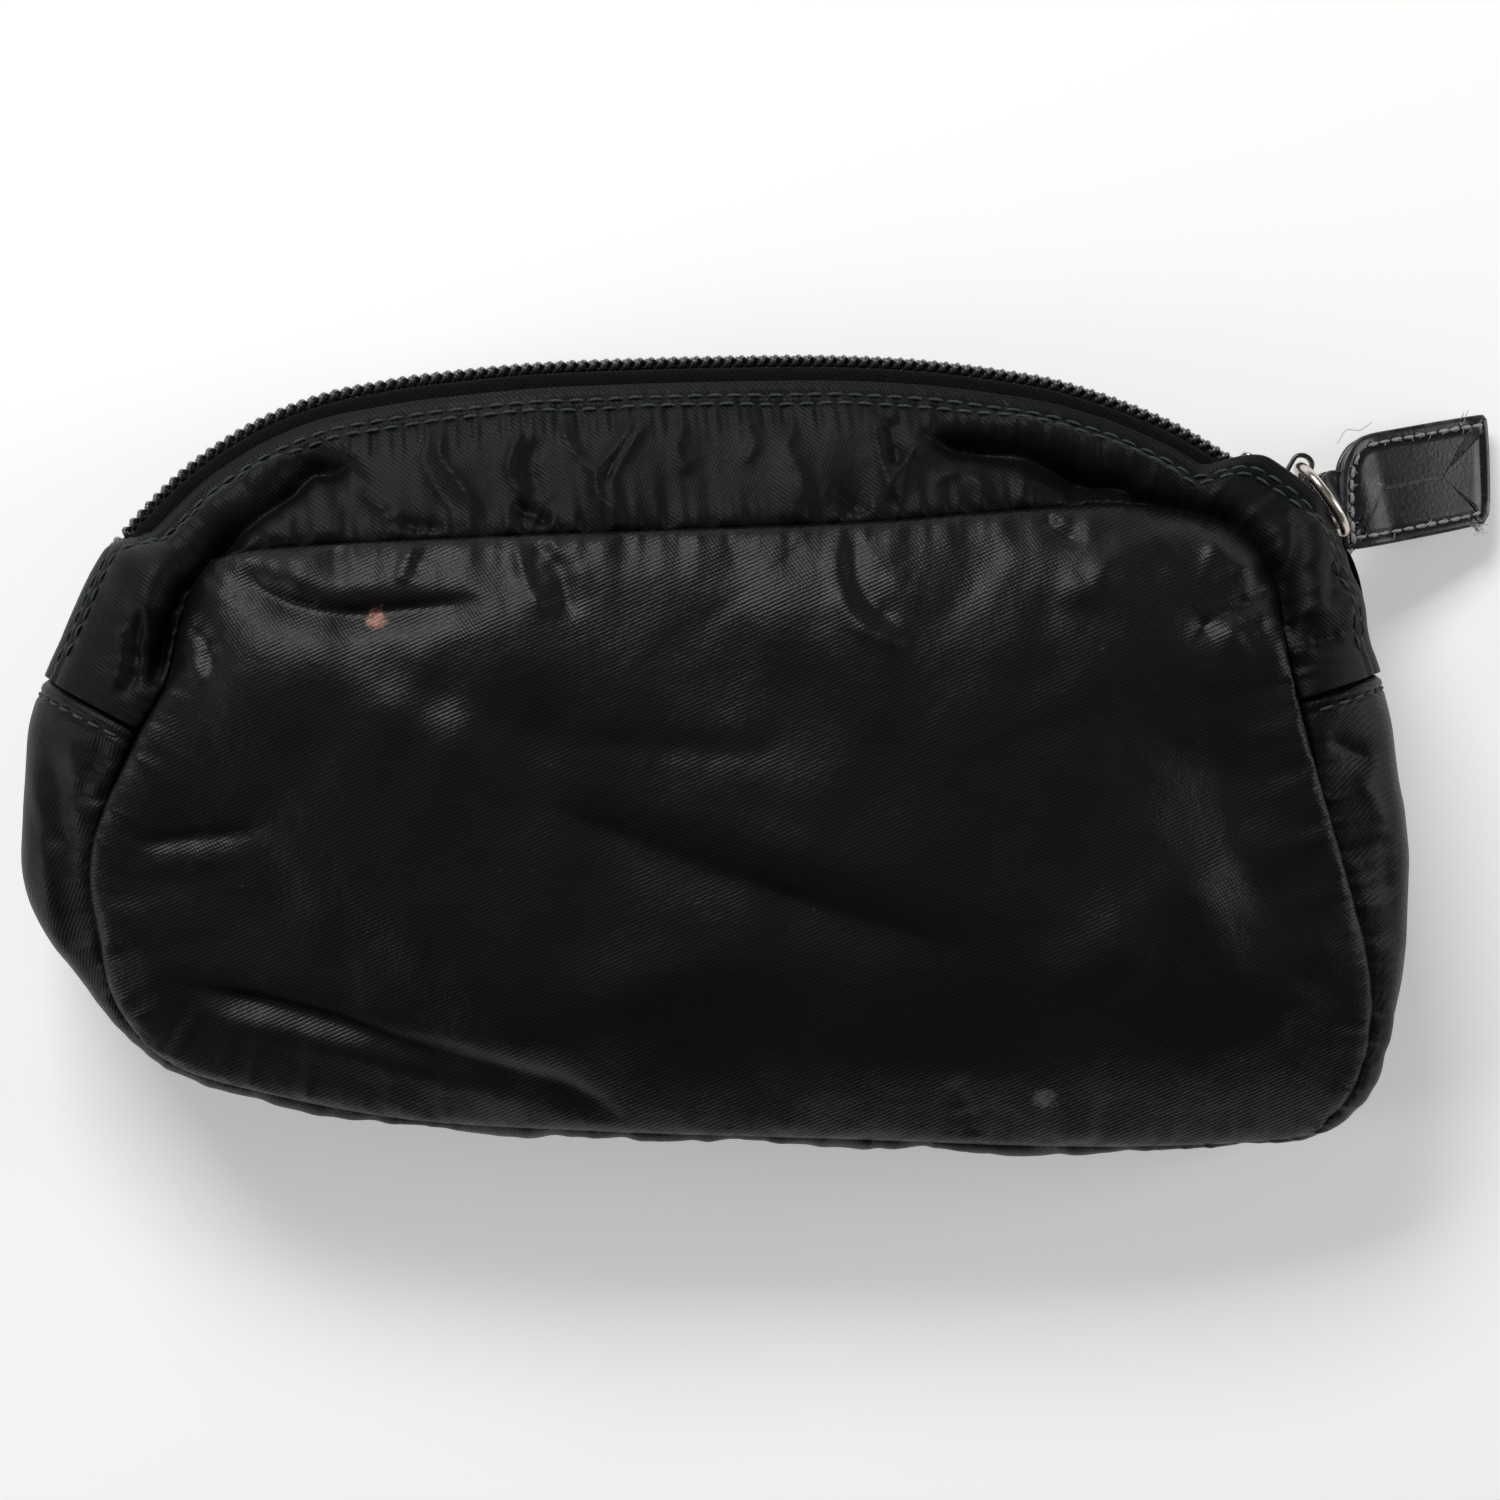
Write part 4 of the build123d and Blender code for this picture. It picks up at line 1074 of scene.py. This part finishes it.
def build_tab_stitches():
    """Worn thread all round the tab, in its groove, with frayed ends at the two lower corners."""
    line = tab_outline(1.75, 160)
    s = lengths(np.vstack([line, line[:1]]))
    loop = np.vstack([line, line[:1]])
    parts = []
    top = 1.62
    count = int(s[-1] / 2.15)
    for k in range(count):
        t0 = k * 2.15 + rng.uniform(-0.15, 0.15)
        a = point_at(loop, s, t0)
        b = point_at(loop, s, t0 + 1.75)
        if a[0] > TAB_START + TAB_LENGTH - 1.4 and abs(a[1]) < TAB_WIDTH / 2 - 2.2:
            continue
        pa = np.array([a[0], a[1], top + tab_bend(a[0]) + tab_close(a[0], 1)])
        pb = np.array([b[0], b[1], top + tab_bend(b[0]) + tab_close(b[0], 1)])
        swell = rng.uniform(0.85, 1.35)
        v, f = stitch(pa, pb, np.array([0, 0, 0.2]), 0.30 * swell)
        parts.append((in_tab(v), f))
        for _ in range(2):
            c = pa + (pb - pa) * rng.uniform(0.1, 0.9)
            end = c + np.array([rng.normal(0, 0.5), rng.normal(0, 0.5), rng.uniform(0.1, 0.4)])
            mid = (c + end) / 2 + np.array([0, 0, 0.2])
            v, f = tube(curve([c, mid, end], 6), 0.06, 5)
            parts.append((in_tab(v), f))
    frays = [
        ((TAB_START + 0.6, -TAB_WIDTH / 2 + 0.7), (-0.9, -0.5), 16),
        ((TAB_START + TAB_LENGTH - 3.2, -TAB_WIDTH / 2 + 0.4), (0.8, -0.6), 18),
        ((TAB_START + TAB_LENGTH - 1.2, TAB_WIDTH / 2 - 1.0), (0.5, 0.6), 7)
    ]
    for (x, y), (dx, dy), many in frays:
        for _ in range(many):
            a = np.array([x + rng.normal(0, 0.5), y + rng.normal(0, 0.35), 1.2 + tab_bend(x)])
            reach = rng.uniform(0.8, 2.4)
            turn = np.array([dx + rng.normal(0, 0.6), dy + rng.normal(0, 0.5), rng.uniform(-0.5, 0.25)])
            b = a + turn * reach * 0.6 + rng.normal(0, 0.25, 3)
            c = a + turn * reach + rng.normal(0, 0.35, 3)
            v, f = tube(curve([a, b, c], 8), np.linspace(0.08, 0.04, 8), 5)
            parts.append((in_tab(v), f))
    hair = curve(
        [
            (TAB_START + 1.5, TAB_WIDTH / 2 - 0.4, 1.4), (TAB_START + 3.5, TAB_WIDTH / 2 + 1.4, 1.5),
            (TAB_START + 6.0, TAB_WIDTH / 2 + 1.0, 1.3), (TAB_START + 8.5, TAB_WIDTH / 2 + 1.9, 1.4)
        ],
        20
    )
    v, f = tube(hair, 0.05, 5)
    parts.append((in_tab(v), f))
    verts, faces = merge(parts)
    return make("tab_thread", verts, faces)


# ---- Materials ------------------------------------------------------------------------------------------


class Nodes:
    """A small builder for node materials."""

    def __init__(self, name):
        self.material = bpy.data.materials.new(name)
        self.material.use_nodes = True
        self.tree = self.material.node_tree
        self.shader = self.tree.nodes["Principled BSDF"]
        coords = self.tree.nodes.new("ShaderNodeTexCoord")
        self.object = coords.outputs["Object"]

    def node(self, kind, links=None, **values):
        n = self.tree.nodes.new(kind)
        for key, value in values.items():
            if key in n.inputs:
                n.inputs[key].default_value = value
            else:
                setattr(n, key, value)
        for key, source in (links or {}).items():
            self.tree.links.new(source, n.inputs[key])
        return n

    def mapped(self, rotation=(0, 0, 0), scale=(1, 1, 1)):
        return self.node(
            "ShaderNodeMapping", {"Vector": self.object}, Rotation=rotation, Scale=scale
        ).outputs[0]

    def noise(self, scale, detail=3.0, rough=0.55, vector=None):
        return self.node(
            "ShaderNodeTexNoise", {"Vector": vector or self.object}, Scale=scale, Detail=detail,
            Roughness=rough
        ).outputs[0]

    def wave(self, scale, vector, distortion=0.0):
        n = self.node("ShaderNodeTexWave", {"Vector": vector}, Scale=scale, Distortion=distortion)
        return n.outputs["Fac"]

    def ramp(self, source, stops):
        n = self.node("ShaderNodeValToRGB", {"Fac": source})
        e = n.color_ramp.elements
        while len(e) < len(stops):
            e.new(0.5)
        for k, (at, colour) in enumerate(stops):
            e[k].position = at
            e[k].color = (*colour, 1) if len(colour) == 3 else colour
        return n.outputs[0]

    def fade(self, source, low, high):
        """0 up to low, 1 from high."""
        return self.ramp(source, [(low, (0, 0, 0)), (high, (1, 1, 1))])

    def greys(self, source, low, dark, high, light):
        """One grey up to low and another from high."""
        return self.ramp(source, [(low, (dark,) * 3), (high, (light,) * 3)])

    def total(self, a, share_a, b, share_b):
        """A weighted sum."""
        return self.maths("ADD", self.maths("MULTIPLY", a, share_a), self.maths("MULTIPLY", b, share_b))

    def mix(self, factor, a, b):
        n = self.tree.nodes.new("ShaderNodeMix")
        n.data_type = "RGBA"
        for index, value in ((0, factor), (6, a), (7, b)):
            if hasattr(value, "is_output"):
                self.tree.links.new(value, n.inputs[index])
            elif index:
                n.inputs[index].default_value = (*value, 1)
            else:
                n.inputs[index].default_value = value
        return n.outputs[2]

    def maths(self, operation, a, b=0.0, clamp=False):
        n = self.tree.nodes.new("ShaderNodeMath")
        n.operation = operation
        n.use_clamp = clamp
        for index, value in ((0, a), (1, b)):
            if hasattr(value, "is_output"):
                self.tree.links.new(value, n.inputs[index])
            else:
                n.inputs[index].default_value = value
        return n.outputs[0]

    def bump(self, height, strength, distance, under=None):
        links = {"Height": height}
        if under is not None:
            links["Normal"] = under
        return self.node("ShaderNodeBump", links, Strength=strength, Distance=distance).outputs[0]

    def set(self, name, value):
        if hasattr(value, "is_output"):
            self.tree.links.new(value, self.shader.inputs[name])
        else:
            self.shader.inputs[name].default_value = value

    def spot(self, centre, radius):
        """1 inside a soft blob round a point given in metres, 0 outside."""
        distance = self.node("ShaderNodeVectorMath", {0: self.object}, operation="DISTANCE")
        distance.inputs[1].default_value = centre
        ragged = self.maths(
            "ADD", distance.outputs["Value"], self.maths("MULTIPLY", self.noise(900, 2), radius * 0.9)
        )
        return self.ramp(self.maths("DIVIDE", ragged, radius * 2), [(0.42, (1, 1, 1)), (0.60, (0, 0, 0))])


def nylon(name, dark, light, direction=(0, 0, 1.0), marks=(), rough=(0.36, 0.55), specular=0.15):
    n = Nodes(name)
    broad = n.noise(28, 3)
    fine = n.noise(1900, 2)
    colour = n.mix(broad, dark, light)
    thread = n.wave(560, n.mapped(direction), 1.0)
    cross = n.wave(640, n.mapped((direction[0], direction[1], direction[2] + 1.35)), 0.8)
    weave = n.total(thread, 0.7, cross, 0.3)
    grain = n.total(weave, 0.75, fine, 0.25)
    colour = n.mix(
        n.maths("MULTIPLY", n.maths("SUBTRACT", grain, 0.2, True), 0.5, True), colour,
        tuple(min(1, 1.7 * c) for c in light)
    )
    for centre, radius, tone in marks:
        colour = n.mix(
            n.maths("MULTIPLY", n.spot(centre, radius), n.maths("ADD", 0.25, grain), True), colour, tone
        )
    lint = n.node("ShaderNodeTexVoronoi", {"Vector": n.object}, Scale=85.0)
    specks = n.ramp(lint.outputs["Distance"], [(0.012, (1, 1, 1)), (0.022, (0, 0, 0))])
    colour = n.mix(n.maths("MULTIPLY", specks, 0.10), colour, (0.3, 0.3, 0.28))
    n.set("Base Color", colour)
    n.set("Roughness", n.greys(n.total(n.noise(60, 3), 0.6, grain, 0.4), 0.25, rough[0], 0.8, rough[1]))
    n.set("Specular IOR Level", specular)
    crumple = n.bump(n.noise(240, 4, 0.6), 0.25, 0.0009)
    n.set("Normal", n.bump(grain, 0.35, 0.00018, crumple))
    return n.material


def plain_cloth(name, dark, light, rib, distance=0.00018, rough=(0.7, 0.9), specular=0.25):
    n = Nodes(name)
    a = n.wave(rib, n.mapped((0, 0, 0.6)), 0.6)
    b = n.wave(rib, n.mapped((0, 0, 2.1)), 0.6)
    weave = n.total(a, 0.5, b, 0.5)
    fuzz = n.noise(1400, 3)
    colour = n.mix(n.noise(45, 3), dark, light)
    n.set("Base Color", n.mix(n.maths("MULTIPLY", fuzz, 0.5), colour, tuple(min(1, 1.8 * c) for c in light)))
    n.set("Roughness", n.greys(fuzz, 0.3, rough[0], 0.7, rough[1]))
    n.set("Specular IOR Level", specular)
    n.set("Normal", n.bump(weave, 0.6, distance, n.bump(fuzz, 0.3, 0.0001)))
    return n.material


def coil_plastic():
    n = Nodes("coil_nylon")
    n.set("Base Color", n.mix(n.noise(600, 3), (0.010, 0.011, 0.011), (0.060, 0.064, 0.062)))
    n.set("Roughness", n.greys(n.noise(900, 2), 0.3, 0.20, 0.7, 0.38))
    n.set("Specular IOR Level", 0.9)
    n.set("Normal", n.bump(n.noise(2600, 2), 0.2, 0.00006))
    return n.material


def painted_metal():
    n = Nodes("slider_paint")
    worn = n.fade(n.noise(650, 3), 0.60, 0.66)
    n.set("Base Color", n.mix(worn, (0.012, 0.012, 0.013), (0.55, 0.54, 0.52)))
    n.set("Metallic", worn)
    n.set("Roughness", n.greys(n.noise(500, 3), 0.3, 0.22, 0.7, 0.38))
    n.set("Specular IOR Level", 0.6)
    n.set("Normal", n.bump(n.noise(1500, 3), 0.15, 0.00008))
    return n.material


def ring_metal():
    n = Nodes("ring_steel")
    n.set("Base Color", n.mix(n.noise(300, 4), (0.50, 0.44, 0.38), (0.78, 0.72, 0.64)))
    n.set("Metallic", 1.0)
    n.set("Roughness", n.greys(n.noise(900, 3, vector=n.mapped(scale=(1, 1, 8))), 0.3, 0.16, 0.7, 0.34))
    n.set("Normal", n.bump(n.noise(1800, 2), 0.1, 0.00006))
    return n.material


def leather():
    n = Nodes("tab_leather_gloss")
    pores = n.node("ShaderNodeTexVoronoi", {"Vector": n.object}, Scale=1500.0).outputs["Distance"]
    scuffs = n.fade(n.noise(420, 5, 0.7, n.mapped((0, 0, 0.4), (1, 5, 1))), 0.58, 0.72)
    edge = n.node("ShaderNodeNewGeometry").outputs["Pointiness"]
    rubbed = n.maths("MULTIPLY", n.fade(edge, 0.515, 0.60), n.fade(n.noise(260, 4), 0.40, 0.62))
    colour = n.mix(n.noise(70, 3), (0.004, 0.0036, 0.005), (0.010, 0.009, 0.012))
    colour = n.mix(n.maths("MULTIPLY", scuffs, 0.25), colour, (0.12, 0.12, 0.125))
    n.set("Base Color", n.mix(rubbed, colour, (0.20, 0.20, 0.20)))
    n.set("Roughness", n.greys(n.noise(200, 4), 0.3, 0.20, 0.75, 0.42))
    n.set("Specular IOR Level", 0.35)
    n.set("Coat Weight", 0.12)
    n.set("Coat Roughness", 0.15)
    dents = n.bump(n.noise(90, 2), 0.2, 0.0006)
    n.set("Normal", n.bump(pores, 0.25, 0.00007, dents))
    return n.material


def thread(name, dark, light):
    n = Nodes(name)
    twist = n.wave(700, n.mapped((0.4, 0.3, 0.8)), 1.0)
    n.set("Base Color", n.mix(n.total(n.noise(500, 4), 0.7, twist, 0.3), dark, light))
    n.set("Roughness", n.greys(n.noise(900, 2), 0.3, 0.6, 0.7, 0.85))
    n.set("Specular IOR Level", 0.3)
    n.set("Normal", n.bump(twist, 0.5, 0.0001))
    return n.material


MARKS = [
    ((-0.0515, 0.0208, 0.0415), 0.0027, (0.42, 0.20, 0.15)),
    ((0.0502, -0.0519, 0.0307), 0.0036, (0.16, 0.16, 0.17)),
]
MAT = {
    "panel": nylon(
        "nylon_panel", (0.0015, 0.0014, 0.0019), (0.0036, 0.0035, 0.0041), (0, 0, 1.15), MARKS,
        rough=(0.34, 0.50), specular=0.24
    ),
    "upper": nylon(
        "nylon_upper", (0.0016, 0.0021, 0.0020), (0.0032, 0.0042, 0.0039), (0, 0, 2.2), rough=(0.44, 0.62),
        specular=0.13
    ),
    "lower": nylon("nylon_lower", (0.0024, 0.0024, 0.0026), (0.0043, 0.0042, 0.0046), (0.5, 0.3, 0.7)),
    "tape": plain_cloth(
        "tape_weave", (0.0012, 0.0015, 0.0015), (0.0030, 0.0038, 0.0036), 420, 0.00022, specular=0.06
    ),
    "lining": plain_cloth("lining_weave", (0.010, 0.010, 0.011), (0.018, 0.018, 0.019), 300),
    "binding": plain_cloth("binding_weave", (0.008, 0.008, 0.008), (0.016, 0.016, 0.016), 380, 0.0002),
    "coil": coil_plastic(),
    "slider": painted_metal(),
    "ring": ring_metal(),
    "leather": leather(),
    "thread": thread("shell_thread_green", (0.014, 0.020, 0.018), (0.060, 0.078, 0.070)),
    "tab_thread": thread("tab_thread_worn", (0.10, 0.10, 0.10), (0.50, 0.49, 0.47)),
}


def paint(obj, key):
    obj.data.materials.clear()
    obj.data.materials.append(MAT[key])


def thicken(obj, amount):
    m = obj.modifiers.new("cloth", "SOLIDIFY")
    m.thickness = amount / 1000
    m.offset = -1
    m.use_even_offset = False
    return obj


# ---- Build ----------------------------------------------------------------------------------------------


def place(obj, look, body, *nodes):
    """Give a piece its material, hide the CAD nodes it replaces and hang it on its body; a "mouth" piece is
    only baked in place, on no body.
    """
    paint(obj, look)
    if nodes:
        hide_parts(*nodes)
    if body == "mouth":
        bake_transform(obj)
    else:
        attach(obj, body)


SIDES = ((1, "front", "mouth"), (-1, "back", "bag"))

place(thicken(build_front_panel(), 0.5), "panel", "bag", "front_panel")
place(thicken(build_back_panel(), 0.3), "panel", "bag", "back_panel")

upper_front, front_data = upper_half(1)
place(thicken(upper_front, 0.4), "upper", "mouth", "upper_gusset_front")
upper_back, back_data = upper_half(-1)
place(thicken(upper_back, 0.4), "upper", "bag", "upper_gusset_back", "end_gusset_left", "end_gusset_right")
band = {1: front_data, -1: back_data}

lower, lower_data = build_lower()
place(thicken(lower, 0.4), "lower", "bag", "lower_gusset")

for side, word, body in SIDES:
    place(upper_rows(band[side], side), "thread", body, f"zip_topstitch_{word}")
place(side_rows(lower_data), "thread", "bag")

for side, word, body in SIDES:
    place(build_tape(side), "tape", body, f"zip_tape_{word}")
    place(build_coil(side, 5.0, web_s[-1] - 7.0), "coil", body, f"zip_coil_{word}")

place(build_slider(), "slider", "slider", "slider_body")
place(build_crown(), "slider", "slider", "slider_crown")
place(build_ring(), "ring", "pull_ring", "pull_ring")
place(
    build_tab_layer("tab_face", 0.575, 1.625, 0.0), "leather", "pull_tab", "tab_front_leather"
)
place(
    build_tab_layer("tab_back", -1.625, -0.575, 0.25), "leather", "pull_tab",
    "tab_back_leather"
)
place(build_tab_loop(), "leather", "pull_tab", "tab_ring_loop")
place(build_tab_stitches(), "tab_thread", "pull_tab", "tab_stitches_upper", "tab_stitches_lower")

for front, word in ((True, "front"), (False, "back")):
    place(thicken(build_panel_lining(front), 0.2), "lining", "bag", f"{word}_lining")
    place(build_binding(front), "binding", "bag", f"{word}_seam_binding")
lining = build_band_lining("inside_lower", lower_data["points"], lower_data["normals"], slice(5, -5), False)
place(thicken(lining, 0.2), "lining", "bag", "lower_lining")
for side, word, body in SIDES:
    data = band[side]
    lining = build_band_lining(
        f"inside_upper_{word}", data["points"], data["normals"], slice(5, -14), side < 0
    )
    place(thicken(lining, 0.2), "lining", body, f"upper_lining_{word}")
place(build_stop(), "slider", "bag", "zip_bottom_stop")

# ---- Floor, light and camera ----------------------------------------------------------------------------

FLOOR_REACH, FLOOR_Z = 9000, -0.02
floor_corners = [(x * FLOOR_REACH, y * FLOOR_REACH, FLOOR_Z) for x, y in ((-1, -1), (1, -1), (1, 1), (-1, 1))]
floor = make("floor", floor_corners, [[0, 1, 2, 3]], smooth=False, solid=False)
pale = Nodes("floor_pale")
pale.set("Base Color", pale.mix(pale.noise(3, 2), (0.90, 0.90, 0.90), (0.92, 0.92, 0.92)))
pale.set("Roughness", 0.9)
pale.set("Emission Color", (1, 1, 1, 1))
pale.set("Emission Strength", 0.30)
floor.data.materials.append(pale.material)


def area_light(name, place, target, size, power, colour=(1, 1, 1)):
    data = bpy.data.lights.new(name, "AREA")
    data.shape = "RECTANGLE"
    data.size, data.size_y = size
    data.energy = power
    data.color = colour
    light = bpy.data.objects.new(name, data)
    bpy.context.scene.collection.objects.link(light)
    light.location = place
    light.rotation_euler = (Vector(target) - Vector(place)).to_track_quat("-Z", "Y").to_euler()


area_light("key_top", (-0.35, 0.85, 0.72), (0, -0.02, 0.02), (0.6, 0.35), 10.0, (1.0, 0.99, 0.97))
area_light("fill_over", (0.1, -0.1, 1.4), (0, 0, 0), (1.2, 1.2), 0.6, (0.97, 0.98, 1.0))
area_light("side_right", (1.05, 0.15, 0.36), (0, 0, 0.02), (0.4, 0.6), 3.2)
area_light("side_left", (-1.0, -0.25, 0.40), (0, 0, 0.02), (0.4, 0.6), 2.6)

world = bpy.data.worlds.new("studio")
bpy.context.scene.world = world
world.use_nodes = True
world.node_tree.nodes["Background"].inputs[0].default_value = (1, 1, 1, 1)
world.node_tree.nodes["Background"].inputs[1].default_value = 0.11

camera_data = bpy.data.cameras.new("photo_camera")
camera_data.sensor_width = 36.0
camera_data.lens = 36.0 * EYE_HEIGHT / VIEW_WIDTH
camera_data.clip_start = 0.01
camera = bpy.data.objects.new("photo_camera", camera_data)
bpy.context.scene.collection.objects.link(camera)
camera.location = (EYE_XY[0] / 1000, EYE_XY[1] / 1000, (EYE_HEIGHT + ZIP_Z) / 1000)
bpy.context.scene.camera = camera
bpy.context.scene.view_settings.view_transform = "Standard"
